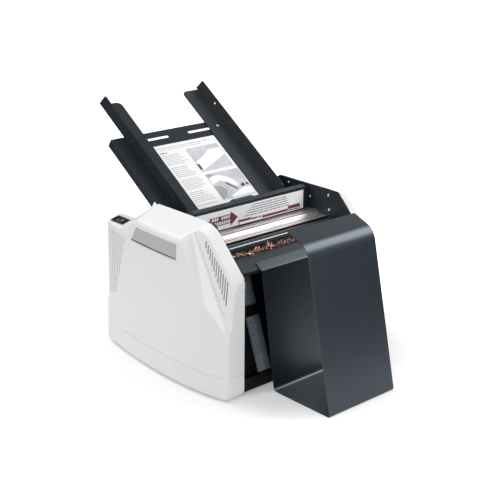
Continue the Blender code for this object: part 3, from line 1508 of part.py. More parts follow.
def fold_stop(prefix, frame, along, half_length, places):
    """A paper stop: bar above the slotted sheet, fingers through it, studs for the knobs."""
    low = -stop_height / 2
    high = stop_height / 2
    top = stop_lift + stop_depth
    bar = box_mesh((-half_length, low, stop_lift), (half_length, high, top))
    stop = keep(prefix + "_stop", bar, "black_plastic", frame, (0, along, 0))
    joined = []
    stud_top = top + seat_gap + stop_knob_height
    stud_foot = top - stop_depth / 3
    for x in places.values():
        finger = box_mesh((x - finger_width / 2, -finger_length / 2, -sheet - fold_gap + seat_gap),
                          (x + finger_width / 2, finger_length / 2, stop_lift + stop_depth / 2))
        joined.append((finger, Matrix.Identity(4)))
        stud = turned_mesh([(0, stud_top), (stop_stud_radius, stud_top), (stop_stud_radius, stud_foot),
                            (0, stud_foot)], hole_steps)
        joined.append((stud, Matrix.Translation((x, 0, 0))))
    boolean(stop, joined_mesh(joined), "UNION")
    for name, x in places.items():
        knob = knob_mesh(stop_knob_radius, stop_knob_height, stop_stud_radius + bush_play)
        keep(prefix + name, knob, "black_plastic", frame, (x, along, stud_top))


def build_fold_plates():
    pair = {"_knob_left": -fold_slot_x, "_knob_right": fold_slot_x}
    fold_plates("lower_fold_plate", fold_frame, fold_length, fold_slot_low, fold_slot_high, pair.values())
    fold_stop("lower_fold", fold_frame, stop_along, stop_half_length, pair)
    scale_edge = -fold_half_width + scale_inset
    strip = box_mesh((scale_edge, seat_gap, seat_gap),
                     (scale_edge + scale_width, fold_length - seat_gap, seat_gap + scale_thickness))
    keep("scale_strip", strip, "print_grey", fold_frame)
    middle = {"_knob": 0}
    fold_plates("rear_fold_plate", rear_fold_frame, rear_fold_length, rear_slot_low, rear_slot_high,
                middle.values())
    fold_stop("rear_fold", rear_fold_frame, rear_stop_along, fold_half_width, middle)


machine_frame = empty("machine_frame", (0, -machine_middle_y, 0))
tray_frame = empty("tray_frame", (0, tray_ref_y, tray_ref_z), (tray_slope, 0, 0), machine_frame)
chute_frame = empty("chute_frame", (0, stacker_lip_bend_y, stacker_lip_bend_z), (stacker_lip_slope, 0, 0),
                    machine_frame)
fold_frame = empty("fold_frame", (0, fold_foot_y, fold_foot_z), (fold_slope, 0, 0), machine_frame)
rear_mouth = centres["lower"] + Vector((math.sin(rear_plate_slope), -math.cos(rear_plate_slope))) * (
    roller_spacing / 2)
rear_start = rear_mouth + Vector((math.cos(rear_plate_slope), math.sin(rear_plate_slope))) * rear_fold_start
rear_fold_frame = empty("rear_fold_frame", (0, rear_start.x, rear_start.y + sheet + fold_gap / 2),
                        (rear_plate_slope, 0, 0), machine_frame)
switch_x = -(cover_inner_half + switch_from_inner)
switch_tilt = math.atan(platform_fall_share * platform_height / cover_height)
switch_z = platform_height * (1 - platform_fall_share * switch_from_inner / cover_height)
switch_frame = empty("switch_frame", (switch_x, switch_y, switch_z), (0, -switch_tilt, 0), machine_frame)

build_covers()
build_switch()
build_side_plates()
build_base()
build_rods()
build_rollers()
build_gears()
build_bearings()
build_motor()
build_tray()
build_guides()
build_label_panel()
build_guard()
build_stacker()
build_chute()
build_fold_plates()
bpy.context.view_layer.update()
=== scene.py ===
# %% [markdown]
# # A tabletop paper folding machine
# The solids of the machine are already made: white side covers on steel plates, rollers and gears
# between them, a sloping feed tray behind and a bent sheet stacker in front. This notebook dresses
# them. It moulds the covers again with round edges, softens the folded sheets, prints the cards,
# strings the copper tinsel, and gives every piece a finish made of shader nodes.

# %% Load the fixed frame
import bpy
import json
import math
import random
from mathutils import Matrix, Vector


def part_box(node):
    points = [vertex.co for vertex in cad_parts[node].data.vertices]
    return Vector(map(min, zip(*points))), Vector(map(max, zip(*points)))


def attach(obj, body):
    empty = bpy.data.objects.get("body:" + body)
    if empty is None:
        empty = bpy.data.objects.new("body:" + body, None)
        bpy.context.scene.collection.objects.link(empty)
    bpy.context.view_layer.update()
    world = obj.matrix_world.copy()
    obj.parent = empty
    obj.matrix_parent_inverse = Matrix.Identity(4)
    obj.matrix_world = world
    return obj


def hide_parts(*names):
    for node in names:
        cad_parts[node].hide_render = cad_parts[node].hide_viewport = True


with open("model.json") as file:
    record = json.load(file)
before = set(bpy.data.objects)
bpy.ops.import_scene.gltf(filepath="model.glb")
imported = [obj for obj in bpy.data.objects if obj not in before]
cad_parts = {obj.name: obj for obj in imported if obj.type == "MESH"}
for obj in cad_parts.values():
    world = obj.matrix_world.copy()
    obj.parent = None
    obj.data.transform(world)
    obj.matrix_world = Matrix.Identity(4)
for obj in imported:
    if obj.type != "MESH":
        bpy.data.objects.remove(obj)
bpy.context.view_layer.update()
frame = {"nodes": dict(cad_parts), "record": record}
node_body = {node: body for body, group in frame["record"]["behaviour"]["bodies"].items()
             for node in group}
front_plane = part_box("left_cover")[0][1]
print("the covers' front plane is at y = %.4f" % front_plane)

# %% [markdown]
# The camera comes first, so that every later choice can be seen from the same place. Its place and
# its three angles were worked out from the straight edges of the covers and the stacker. A long
# lens keeps the machine's sides nearly parallel, as product pictures do.

# %% Camera
camera_place = Vector((-1.2041, -1.3309, 0.8080))
camera_yaw = math.radians(42.03)
camera_pitch = math.radians(19.31)
camera_roll = math.radians(-0.37)
sensor_width, focal_pixels, picture_pixels = 36, 1118.2, 500


def linked(name, data):
    """A new object in the scene for a camera, a lamp or a mesh."""
    made = bpy.data.objects.new(name, data)
    bpy.context.scene.collection.objects.link(made)
    return made


camera_data = bpy.data.cameras.new("product_camera")
camera_data.sensor_width = sensor_width
camera_data.lens = sensor_width * focal_pixels / picture_pixels
camera_data.clip_end = 50
camera = linked("product_camera", camera_data)
looking = Vector((math.sin(camera_yaw) * math.cos(camera_pitch),
                  math.cos(camera_yaw) * math.cos(camera_pitch), -math.sin(camera_pitch)))
right_hand = Vector((math.cos(camera_yaw), -math.sin(camera_yaw), 0))
downward = looking.cross(right_hand)
rolled_right = right_hand * math.cos(camera_roll) + downward * math.sin(camera_roll)
rolled_down = downward * math.cos(camera_roll) - right_hand * math.sin(camera_roll)
turn = Matrix((rolled_right, -rolled_down, -looking)).transposed()
camera.matrix_world = Matrix.Translation(camera_place) @ turn.to_4x4()
bpy.context.scene.camera = camera
print("lens %.1f mm at" % camera_data.lens, tuple(round(v, 3) for v in camera_place))

# %% [markdown]
# A product like this is shown on a white sweep. One large plane is enough for the floor. Near the
# machine it is plain white paper, so the soft shadow under the machine stays. Further out it turns
# into a white glow that only the camera sees, so that the picture's ground is white to the edge.
# Glossy parts see a painted reflection: a small glow near by and dark paper further off.

# %% Floor
floor_size = 60
near_paper, painted_reflection_paper = (0.64, 0.64, 0.64), (0.10, 0.10, 0.10)


def ranged(value, low, high, near=0, far=1, kind="LINEAR"):
    """A value between near and far stretched to the range from low to high."""
    tree = value.id_data
    made = tree.nodes.new("ShaderNodeMapRange")
    made.interpolation_type = kind
    for limit, number in zip(("From Min", "From Max", "To Min", "To Max"), (near, far, low, high)):
        made.inputs[limit].default_value = number
    tree.links.new(value, made.inputs["Value"])
    return made.outputs["Result"]


def combined(operation, first, second):
    """Two values put together by a math node."""
    tree = first.id_data
    made = tree.nodes.new("ShaderNodeMath")
    made.operation = operation
    tree.links.new(first, made.inputs[0])
    tree.links.new(second, made.inputs[1])
    return made.outputs[0]


def blended(share, first, second):
    """A colour between two others."""
    tree = share.id_data
    made = tree.nodes.new("ShaderNodeMix")
    made.data_type = "RGBA"
    made.inputs["A"].default_value = (*first, 1)
    made.inputs["B"].default_value = (*second, 1)
    tree.links.new(share, made.inputs["Factor"])
    return made.outputs["Result"]


bpy.ops.mesh.primitive_plane_add(size=floor_size, location=(0, 0, 0))
floor = bpy.context.object
floor.name = "floor"
sweep = bpy.data.materials.new("white_sweep")
sweep.use_nodes = True
nodes, links = sweep.node_tree.nodes, sweep.node_tree.links
nodes.clear()
surface = nodes.new("ShaderNodeOutputMaterial")
adding = nodes.new("ShaderNodeAddShader")
paper = nodes.new("ShaderNodeBsdfDiffuse")
glow = nodes.new("ShaderNodeEmission")
rays = nodes.new("ShaderNodeLightPath").outputs
away = nodes.new("ShaderNodeVectorMath")
away.operation = "LENGTH"
links.new(nodes.new("ShaderNodeTexCoord").outputs["Object"], away.inputs[0])


def by_distance(ray, near, far, near_value, far_value):
    """A value for one kind of ray that changes smoothly with the distance from the machine."""
    change = ranged(away.outputs["Value"], near_value, far_value, near, far, "SMOOTHSTEP")
    return combined("MULTIPLY", rays[ray], change)


to_camera = by_distance("Is Camera Ray", near=0.22, far=0.44, near_value=0.27, far_value=1.0)
# Painted reflection: near the machine the floor glows for glossy rays alone, further off it turns
# dark to them.
painted_reflection_glow = by_distance("Is Glossy Ray", near=0.30, far=0.90, near_value=0.50, far_value=0.0)
painted_reflection_share = by_distance("Is Glossy Ray", near=0.45, far=1.10, near_value=0.0, far_value=1.0)
links.new(blended(painted_reflection_share, near_paper, painted_reflection_paper), paper.inputs["Color"])
links.new(combined("ADD", to_camera, painted_reflection_glow), glow.inputs["Strength"])
links.new(paper.outputs[0], adding.inputs[0])
links.new(glow.outputs[0], adding.inputs[1])
links.new(adding.outputs[0], surface.inputs["Surface"])
floor.data.materials.append(sweep)
print("floor: %d m of white sweep" % floor_size)

# %% [markdown]
# The room around the machine is a weak even white, and the camera sees it as full white. Large soft
# lamps stand at the left, the right, the front and the rear. The left one is weak, because it looks
# straight at the white cover. A faint rim lamp lifts the far edges.

# %% World and lamps
room_level = 0.40
machine_middle = Vector((0, 0, 0.2))
world = bpy.data.worlds.new("white_room")
bpy.context.scene.world = world
world.use_nodes = True
sky = world.node_tree.nodes["Background"]
sky.inputs["Color"].default_value = (1, 1, 1, 1)
seen = world.node_tree.nodes.new("ShaderNodeLightPath").outputs
seen_white = combined("MAXIMUM", seen["Is Camera Ray"], seen["Is Transmission Ray"])
world.node_tree.links.new(ranged(seen_white, room_level, 1.0), sky.inputs["Strength"])


def softbox(name, place, size, power, roll=0):
    """An area lamp that looks at the machine's middle, rolled by some degrees."""
    lamp = bpy.data.lights.new(name, "AREA")
    lamp.shape = "RECTANGLE"
    lamp.size, lamp.size_y = size
    lamp.energy = power
    holder = linked(name, lamp)
    holder.location = place
    level_turn = (machine_middle - Vector(place)).to_track_quat("-Z", "Y").to_matrix()
    holder.rotation_euler = (level_turn @ Matrix.Rotation(math.radians(roll), 3, "Z")).to_euler()


softbox("rear_lamp", (-0.7, 1.1, 2.0), (1.4, 1.4), 30)
softbox("left_lamp", (-2.2, -0.3, 1.1), (1.4, 1.4), 17)
softbox("right_lamp", (1.58, -0.93, 1.61), (1.2, 1.15), 28, -53)
softbox("front_lamp", (0.3, -2.6, 0.6), (1.6, 0.8), 24)
softbox("rim_lamp", (1.64, 1.08, 1.50), (1.6, 1.2), 2)
bpy.context.scene.view_settings.view_transform = "Standard"

# %% [markdown]
# Every finish starts from the same recipe: a colour that drifts slightly over the surface, a
# roughness that drifts too, and a fine bump for the grain, stretched along one axis where metal is
# brushed. Only the numbers change between moulded plastic, sprayed steel, rubber and ink.

# %% Finish recipe
def finish(name, colour, rough, metal=0.0, grain=900, depth=0.00003, stretch=(1, 1, 1),
           drift=0.05, rough_drift=0.08, gloss_level=0.5, gloss_tint=(1, 1, 1), broad_scale=14):
    """A Principled finish with drifting colour and roughness and a fine grain."""
    made = bpy.data.materials.new(name)
    made.use_nodes = True
    nodes, links = made.node_tree.nodes, made.node_tree.links
    shader = nodes["Principled BSDF"]
    shader.inputs["Metallic"].default_value = metal
    shader.inputs["Specular IOR Level"].default_value = gloss_level
    shader.inputs["Specular Tint"].default_value = (*gloss_tint, 1)
    place = nodes.new("ShaderNodeTexCoord")
    mapping = nodes.new("ShaderNodeMapping")
    mapping.inputs["Scale"].default_value = stretch
    links.new(place.outputs["Object"], mapping.inputs["Vector"])
    broad, fine = nodes.new("ShaderNodeTexNoise"), nodes.new("ShaderNodeTexNoise")
    for noise, scale, detail in ((broad, broad_scale, 4), (fine, grain, 3)):
        noise.inputs["Scale"].default_value = scale
        noise.inputs["Detail"].default_value = detail
        links.new(mapping.outputs["Vector"], noise.inputs["Vector"])
    darker = [max(c * (1 - drift), 0) for c in colour]
    lighter = [min(c * (1 + drift), 1) for c in colour]
    links.new(blended(broad.outputs["Fac"], darker, lighter), shader.inputs["Base Color"])
    gloss = ranged(fine.outputs["Fac"], max(rough - rough_drift, 0.02), min(rough + rough_drift, 1))
    links.new(gloss, shader.inputs["Roughness"])
    bump = nodes.new("ShaderNodeBump")
    bump.inputs["Distance"].default_value = depth
    bump.inputs["Strength"].default_value = 1.0
    links.new(fine.outputs["Fac"], bump.inputs["Height"])
    links.new(bump.outputs["Normal"], shader.inputs["Normal"])
    return made


def sprayed(name, colour, rough, drift, gloss_level, **grain):
    """Sprayed sheet steel, which reflects a little blue."""
    return finish(name, colour, rough, drift=drift, gloss_level=gloss_level,
                  gloss_tint=(0.77, 0.90, 1.0), **grain)


def printed(name, colour, rough, drift, broad_scale=14):
    """Printing ink, with the finest grain of all."""
    return finish(name, colour, rough, grain=1500, depth=0.000005, drift=drift,
                  broad_scale=broad_scale)


white_moulding = finish("white_moulding", (0.72, 0.73, 0.725), 0.34, grain=1400, drift=0.012)
grey_moulding = finish("grey_moulding", (0.42, 0.43, 0.44), 0.45, grain=1400, drift=0.02)
black_spray = sprayed("black_spray", (0.0145, 0.0185, 0.0245), 0.40, 0.15, 0.34, grain=800)
# A lighter copy of the black spray: painted light on the right guide's wall.
painted_light_spray = sprayed("painted_light_spray", (0.027, 0.029, 0.031), 0.44, 0.20, 0.40, grain=800)
# A darker copy of the black spray that hardly reflects: painted shade for pieces lying in shade.
shade_painted_spray = sprayed("shade_painted_spray", (0.004, 0.005, 0.006), 0.50, 0.15, 0.08, grain=800)
slate_spray = sprayed("slate_spray", (0.007, 0.011, 0.017), 0.32, 0.12, 0.75, depth=0.00001)
black_moulding = finish("black_moulding", (0.010, 0.010, 0.011), 0.38, grain=1200, drift=0.08)
black_rubber = finish("black_rubber", (0.016, 0.016, 0.017), 0.70, grain=2200, depth=0.00006,
                      drift=0.15)
roller_rubber = finish("roller_rubber", (0.013, 0.013, 0.014), 0.42, grain=1600, depth=0.00002,
                       stretch=(0.15, 1, 1), drift=0.15)
grey_rubber = finish("grey_rubber", (0.050, 0.065, 0.060), 0.65, grain=1800, depth=0.00006,
                     drift=0.15)
guard_steel = finish("guard_steel", (0.87, 0.83, 0.83), 0.42, 1.0, grain=300, depth=0.000004,
                     stretch=(0.06, 1, 1))
bright_steel = finish("bright_steel", (0.95, 0.92, 0.91), 0.40, 1.0, grain=420, depth=0.000004,
                      stretch=(0.01, 1, 1), drift=0.10, rough_drift=0.10, broad_scale=160)
turned_steel = finish("turned_steel", (0.55, 0.55, 0.55), 0.28, 1.0, grain=700, depth=0.00001,
                      stretch=(1, 0.2, 0.2))
rod_steel = finish("rod_steel", (0.36, 0.40, 0.46), 0.42, 1.0, grain=700, depth=0.000004,
                   stretch=(0.01, 1, 1), drift=0.08)
natural_nylon = finish("natural_nylon", (0.74, 0.72, 0.64), 0.48, depth=0.00002, drift=0.04)
copper_foil = finish("copper_foil", (0.95, 0.44, 0.32), 0.20, 0.85, grain=300, depth=0.00002,
                     drift=0.5, broad_scale=420)
tray_card = finish("tray_card", (0.77, 0.77, 0.775), 0.42, grain=600, depth=0.00001, drift=0.02)
white_card = finish("white_card", (0.86, 0.865, 0.87), 0.40, grain=600, depth=0.00001, drift=0.01)
scale_film = finish("scale_film", (0.21, 0.24, 0.28), 0.40, depth=0.00001, drift=0.30,
                    broad_scale=60)
grey_ink = printed("grey_ink", (0.30, 0.31, 0.33), 0.55, 0.20, 500)
dark_ink = printed("dark_ink", (0.045, 0.045, 0.055), 0.50, 0.30, 500)
plum_ink = printed("plum_ink", (0.170, 0.014, 0.060), 0.45, 0.10)
photo_ink = printed("photo_ink", (0.50, 0.51, 0.53), 0.45, 0.30, 45)
white_ink = printed("white_ink", (0.78, 0.78, 0.78), 0.45, 0.02)
print("finishes:", len(bpy.data.materials))

# %% [markdown]
# The solids that keep their shape take their finish straight away. The rest of the notebook
# replaces some of them with softer copies, which take the same finish from this table.

# %% Which solid has which finish
broad_sheet_pieces = ["label_panel", "feed_tray"]
sheet_pieces = ["stacker", "feed_tray", "left_paper_guide", "right_paper_guide", "label_panel",
                "panel_carrier", "exit_chute", "lower_fold_plate_front",
                "lower_fold_plate_back", "rear_fold_plate_front", "rear_fold_plate_back",
                "base_pan", "rear_panel", "left_side_plate", "right_side_plate"]
moulded_pieces = ["lower_fold_stop", "rear_fold_stop", "switch_bezel", "power_rocker",
                  "left_guide_knob", "right_guide_knob", "lower_fold_knob_left",
                  "lower_fold_knob_right", "rear_fold_knob", "power_inlet", "foot_front_left",
                  "foot_front_right", "foot_rear_left", "foot_rear_right"]
dressed = dict.fromkeys(sheet_pieces, black_spray)
dressed.update(dict.fromkeys(moulded_pieces, black_moulding))
dressed.update({
    "left_cover": white_moulding, "right_cover": white_moulding, "blank_plate": grey_moulding,
    # The base pan under the stacker takes the painted shade.
    # The right guide takes the lighter copy, which paints light on its wall.
    "stacker": slate_spray, "right_paper_guide": painted_light_spray, "base_pan": shade_painted_spray,
    "roller_guard": guard_steel, "exit_rod": rod_steel, "instruction_card": tray_card,
    "info_label": white_card, "scale_strip": scale_film, "separator_pad": black_rubber,
    "feed_roller": grey_rubber, "copper_tinsel": copper_foil, "motor": turned_steel,
    "motor_pinion": turned_steel,
})
for node, solid in frame["nodes"].items():
    if node.endswith(("_gear", "bearing_plate")):
        dressed[node] = natural_nylon
    elif node.startswith("fold_roller"):
        dressed[node] = roller_rubber
    elif node.endswith(("tie_rod", "tray_rod")):
        dressed[node] = turned_steel
    elif node.startswith("foot"):
        dressed[node] = black_rubber
    # The lower fold plates and their stop take the painted shade as well.
    elif node.startswith(("lower_fold_plate", "lower_fold_stop")):
        dressed[node] = shade_painted_spray
    solid.data.materials.clear()
    solid.data.materials.append(dressed[node])
print("dressed:", len(dressed))

# %% [markdown]
# Small helpers draw a new piece, open it in edit mode with everything selected, close it with its
# faces turned outwards, apply a modifier, settle a finished piece with its place in its mesh, and
# tie it to its body and slot.

# %% Workbench helpers
def alone(piece):
    """Selects this piece and nothing else."""
    bpy.ops.object.select_all(action="DESELECT")
    piece.select_set(True)
    bpy.context.view_layer.objects.active = piece


def drawn(name, points, faces=(), chain=0):
    """A new piece from corners with faces or a chain of edges, selected alone."""
    mesh = bpy.data.meshes.new(name)
    edges = [(i, (i + 1) % len(points)) for i in range(chain)]
    mesh.from_pydata([tuple(point) for point in points], edges, list(faces))
    made = linked(name, mesh)
    alone(made)
    return made


def opened(kind=None):
    """Enters edit mode with everything selected, by edge or face if asked."""
    bpy.ops.object.mode_set(mode="EDIT")
    if kind:
        bpy.ops.mesh.select_mode(type=kind)
    bpy.ops.mesh.select_all(action="SELECT")


def closed():
    """Turns all faces outwards and leaves edit mode."""
    bpy.ops.mesh.select_all(action="SELECT")
    bpy.ops.mesh.normals_make_consistent(inside=False)
    bpy.ops.object.mode_set(mode="OBJECT")


def pulled(along):
    """Pulls what is selected in edit mode out along a vector."""
    bpy.ops.mesh.extrude_region_move(TRANSFORM_OT_translate={"value": along})


def applied(piece, kind, **settings):
    """Gives the selected piece a modifier with these settings and applies it."""
    change = piece.modifiers.new(kind.lower(), kind)
    for setting, value in settings.items():
        setattr(change, setting, value)
    bpy.ops.object.modifier_apply(modifier=change.name)


def joined(pieces):
    """Joins pieces into the first of them."""
    bpy.ops.object.select_all(action="DESELECT")
    for piece in pieces:
        piece.select_set(True)
    bpy.context.view_layer.objects.active = pieces[0]
    if len(pieces) > 1:
        bpy.ops.object.join()
    return pieces[0]


def settled(piece, place=None):
    """Moves the mesh to its place and leaves the object at the origin."""
    bpy.context.view_layer.update()
    piece.data.transform((place or Matrix.Identity(4)) @ piece.matrix_world)
    piece.matrix_world = Matrix.Identity(4)
    piece.data.update()
    return piece


def mounted(piece, node, look=None, instead=False):
    """Ties a piece to the body and slot of a solid, and lets it stand for that solid if asked."""
    piece.data.materials.clear()
    piece.data.materials.append(look or dressed[node])
    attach(piece, node_body[node])
    if instead:
        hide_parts(node)
    return piece


def cut(piece, tool):
    """Cuts one piece with another, which is used up."""
    alone(piece)
    applied(piece, "BOOLEAN", operation="DIFFERENCE", solver="EXACT", object=tool)
    bpy.data.objects.remove(tool, do_unlink=True)


def even_shading(piece, angle):
    """Smooth faces, sharp past the angle, with wide faces leading the normals."""
    alone(piece)
    bpy.ops.object.shade_smooth_by_angle(angle=math.radians(angle))
    applied(piece, "WEIGHTED_NORMAL", mode="FACE_AREA", keep_sharp=True)

# %% [markdown]
# Folded and cut sheet never has razor edges: the paint rounds them and they catch a thin line of
# light. Each sheet piece is copied, its loose triangles are merged, flat faces are dissolved into
# one, and a narrow bevel goes round every edge sharper than thirty degrees.

# %% Softened copies
sheet_edge, broad_sheet_edge, moulded_edge = 0.00035, 0.0006, 0.0005
sharp_angle, flat_angle, merge_gap = 30.0, 0.6, 0.00002


def softened(node, width):
    """A copy of a solid with merged corners and narrow rounded edges, shown in its place."""
    piece = linked(node + "_soft", frame["nodes"][node].data.copy())
    alone(piece)
    opened()
    bpy.ops.mesh.remove_doubles(threshold=merge_gap)
    bpy.ops.mesh.dissolve_limited(angle_limit=math.radians(flat_angle))
    bpy.ops.object.mode_set(mode="OBJECT")
    applied(piece, "BEVEL", width=width, segments=2, limit_method="ANGLE",
            angle_limit=math.radians(sharp_angle))
    even_shading(piece, sharp_angle)
    return mounted(piece, node, instead=True)


for node in sheet_pieces:
    softened(node, broad_sheet_edge if node in broad_sheet_pieces else sheet_edge)
for node in moulded_pieces:
    softened(node, moulded_edge)
print("softened:", len(sheet_pieces) + len(moulded_pieces))

# %% [markdown]
# The side covers are the pieces that the eye meets first. The real ones are moulded shells, bowed
# outwards, with a V-shaped channel that carries the vents, a stepped band with a grille, a seam and
# a recess for a plate. The shape is drawn as an outline in the side view, pulled out by extrusion,
# cut into narrow strips by bisecting, and each strip is then pushed in by the bow.
#
# All of this happens in the cover's own place: x goes outwards from its inner side, y to the rear
# from its front, and z up from the table.

# %% Outline of a cover
cover_inner = 0.1386
cover_width = 0.0541
cover_wall = 0.0025
cover_depth = 0.329
cover_height = 0.2715
hem = 0.003
slope_foot, slope_run = 0.2003, 0.0701
flat_end, platform_start, platform_height = 0.217, 0.279, 0.231
slope_rise = cover_height - slope_foot
rear_run, rear_drop = platform_start - flat_end, cover_height - platform_height
corner_radii = (0.007, 0.012, 0.045, 0.010, 0.008, 0.010, 0.012)
hollow_corner = 4
least_radius = 0.001


def rounded(corners, steps=8):
    """Corners (a, b, radius) become an outline whose corners are arcs."""
    outline = []
    for index, (a, b, radius) in enumerate(corners):
        if radius == 0:
            outline.append((a, b))
            continue
        here = Vector((a, b))
        before = (Vector(corners[index - 1][:2]) - here).normalized()
        after = (Vector(corners[(index + 1) % len(corners)][:2]) - here).normalized()
        half = before.angle(after) / 2
        middle = here + (before + after).normalized() * (radius / math.sin(half))
        first = here + before * (radius / math.tan(half)) - middle
        final = here + after * (radius / math.tan(half)) - middle
        sweep = math.atan2(first.x * final.y - first.y * final.x, first.dot(final))
        for step in range(steps + 1):
            spot = middle + Matrix.Rotation(sweep * step / steps, 2) @ first
            outline.append((spot.x, spot.y))
    return outline


def cover_corners(inset=0.0):
    """The cover's corners in the side view, each side moved inwards by the inset."""
    slope = math.hypot(slope_run, slope_rise)
    rear = math.hypot(rear_run, rear_drop)
    low, high, shelf = hem + inset, cover_height - inset, platform_height - inset
    rear_shift = inset * (rear - rear_run) / rear_drop
    places = [
        (inset, low),
        (inset, slope_foot - inset * (slope - slope_rise) / slope_run),
        (slope_run + inset * (slope - slope_run) / slope_rise, high),
        (flat_end - rear_shift, high),
        (platform_start - rear_shift, shelf),
        (cover_depth - inset, shelf),
        (cover_depth - inset, low),
    ]
    radii = [radius + inset if index == hollow_corner else max(radius - inset, least_radius)
             for index, radius in enumerate(corner_radii)]
    return [(y, z, radius) for (y, z), radius in zip(places, radii)]


print("outline points:", len(rounded(cover_corners())))

# %% Bow, band and fall of a cover
crown, front_bow, rear_bow, cover_lean = 0.120, 0.0156, 0.0213, 0.020
band_top, band_foot = (0.246, 0.225), (0.297, 0.084)
band_blend, band_step = 0.0015, 0.0022
front_fall, top_fall, platform_fall = 0.55, 0.457, 0.30
fall_stops = ((0, front_fall), (slope_run, top_fall), (flat_end, top_fall),
              (platform_start, platform_fall))
overrun = 0.004
on_plane = 0.000001


def band_share(y, z):
    """0 on the main face, 1 on the stepped band round the grille."""
    along = Vector((band_foot[0] - band_top[0], band_foot[1] - band_top[1])).normalized()
    across = Vector((-along.y, along.x))
    past = across.dot(Vector((y - band_top[0], z - band_top[1])))
    return min(max(min(past, z - band_foot[1]) / band_blend, 0.0), 1.0)


def cover_reach(y, z):
    """How far the outer face stands out at a place in the side view."""
    if y < crown:
        loss = front_bow * ((crown - y) / crown) ** 2
    else:
        loss = rear_bow * ((y - crown) / (cover_depth - crown)) ** 2
    return cover_width - loss - cover_lean * z - band_step * band_share(y, z)


def cover_fall(y):
    """The share by which the top falls outwards, from the front slope to the rear platform."""
    if y <= 0:
        return front_fall
    for (a, low), (b, high) in zip(fall_stops, fall_stops[1:]):
        if y <= b:
            return low + (high - low) * (y - a) / (b - a)
    return platform_fall


def cover_block(name, outline, low, high, rim=0.0, falls=True, strip=0.008):
    """An outline pulled out across the cover, cut into strips and bowed as the cover is."""
    block = drawn(name, [(low, y, z) for y, z in outline], chain=len(outline))
    opened("EDGE")
    bpy.ops.mesh.edge_face_add()
    bpy.ops.mesh.select_mode(type="FACE")
    bpy.ops.mesh.select_all(action="SELECT")
    pulled((high - low, 0, 0))
    if rim:
        bpy.ops.mesh.region_to_loop()
        bpy.ops.mesh.bevel(offset=rim, segments=5, affect="EDGES", clamp_overlap=False)
    depths = [y for y, z in outline]
    rise = Vector((0, band_foot[0] - band_top[0], band_foot[1] - band_top[1])).normalized()
    across = Vector((0, -rise.z, rise.y))
    cuts = [((0, strip * index, 0), (0, 1, 0)) for index in range(1, int(cover_depth / strip) + 1)
            if min(depths) < strip * index < max(depths)]
    for step in (0, band_blend):
        cuts.append((Vector((0, *band_top)) + across * step, across))
        cuts.append(((0, 0, band_foot[1] + step), (0, 0, 1)))
    for spot, normal in cuts:
        bpy.ops.mesh.select_all(action="SELECT")
        bpy.ops.mesh.bisect(plane_co=spot, plane_no=normal, threshold=on_plane)
    closed()
    for vertex in block.data.vertices:
        out, y, z = vertex.co
        if out > cover_wall:
            out -= cover_width - cover_reach(y, z)
        if falls and out > 0:
            z *= 1 - cover_fall(y) * out / cover_height
        vertex.co = (out, y, z)
    return block


print("reach at the crown %.1f mm" % (cover_reach(crown, 0.15) * 1000))

# %% [markdown]
# The vent channel is a wedge with three long lines. The valley is its bottom, the ridge divides it
# from the outer face, and the brow divides it from the front slope. Near the valley's bottom a
# second, steeper wedge makes the narrow step that gives the channel its dark line.

# %% Vent channel
valley_start, valley_end, valley_low, valley_high = -0.001, 0.088, 0.1190, 0.2570
valley_line = [Vector((0.0250, valley_end, valley_high)),
               Vector((0.0335, valley_start, valley_low))]
ridge_line = [Vector((0.0460, 0.092, 0.2466)), Vector((0.0370, 0.000, 0.1120))]
brow_line = [Vector((0.0200, 0.068, 0.2590)), Vector((0.0200, 0.006, 0.1945))]
run_before, run_after = 0.25, 0.9
ridge_reach, brow_reach = 0.09, 0.12
step_depths = (0.0036, 0.0062)
step_shares = (0.12, 0.40)
vent_face_in = (valley_line[1] - valley_line[0]).cross(brow_line[0] - valley_line[0]).normalized()
if vent_face_in.x > 0:
    vent_face_in.negate()
step_line = [end + vent_face_in * depth for end, depth in zip(valley_line, step_depths)]
wall_line = [end + (other - end) * share
             for end, other, share in zip(valley_line, ridge_line, step_shares)]


def wedge(name, valley, ridge, brow, deeper=0.0):
    """A wedge between three long lines, its open side outwards, moved inwards by a wall."""
    run = valley[1] - valley[0]
    valley, ridge, brow = [[line[0] - run * run_before, line[1] + run * run_after]
                           for line in (valley, ridge, brow)]

    def facing(side, other):
        normal = run.cross(side[0] - valley[0]).normalized()
        return -normal if normal.dot(other[0] - valley[0]) < 0 else normal

    ridge_side, brow_side = facing(ridge, brow), facing(brow, ridge)
    shift = -(ridge_side + brow_side) * deeper / (1 + ridge_side.dot(brow_side))
    points = []
    for low, ridge_end, brow_end in zip(valley, ridge, brow):
        to_ridge = (ridge_end - low).normalized() * ridge_reach
        to_brow = (brow_end - low).normalized() * brow_reach
        points += [low, low + to_ridge, low + to_brow, low + to_ridge + to_brow]
    made = drawn(name, [point + shift for point in points])
    opened()
    bpy.ops.mesh.convex_hull()
    closed()
    return made


def cut_channel(block, deeper=0.0):
    """Takes the wide wedge away, and then the steeper step at its bottom."""
    cut(block, wedge("wide_wedge", valley_line, ridge_line, brow_line, deeper))
    cut(block, wedge("step_wedge", step_line, wall_line, brow_line, deeper))


print("valley step: %.1f to %.1f mm" % tuple(1000 * depth for depth in step_depths))

# %% [markdown]
# A knife-cut channel would look machined. The moulded one has round ridges, so the cut block is
# rebuilt from small even cells (a voxel remesh), smoothed a few times, which rounds every edge by
# two or three millimetres, and thinned again. Only then come the crisp details: the hollow behind
# the wall, the vents, the grille, the seam and the plate recess, each cut with a block of its own.

# %% Moulded body of a cover
def bars(low_corners, high_corners):
    """Upright bars between pairs of corners, as one tool."""
    made = []
    for low, high in zip(low_corners, high_corners):
        middle = (Vector(low) + Vector(high)) / 2
        size = Vector(high) - Vector(low)
        bpy.ops.mesh.primitive_cube_add(size=1, location=middle, scale=size)
        made.append(bpy.context.object)
    return settled(joined(made))


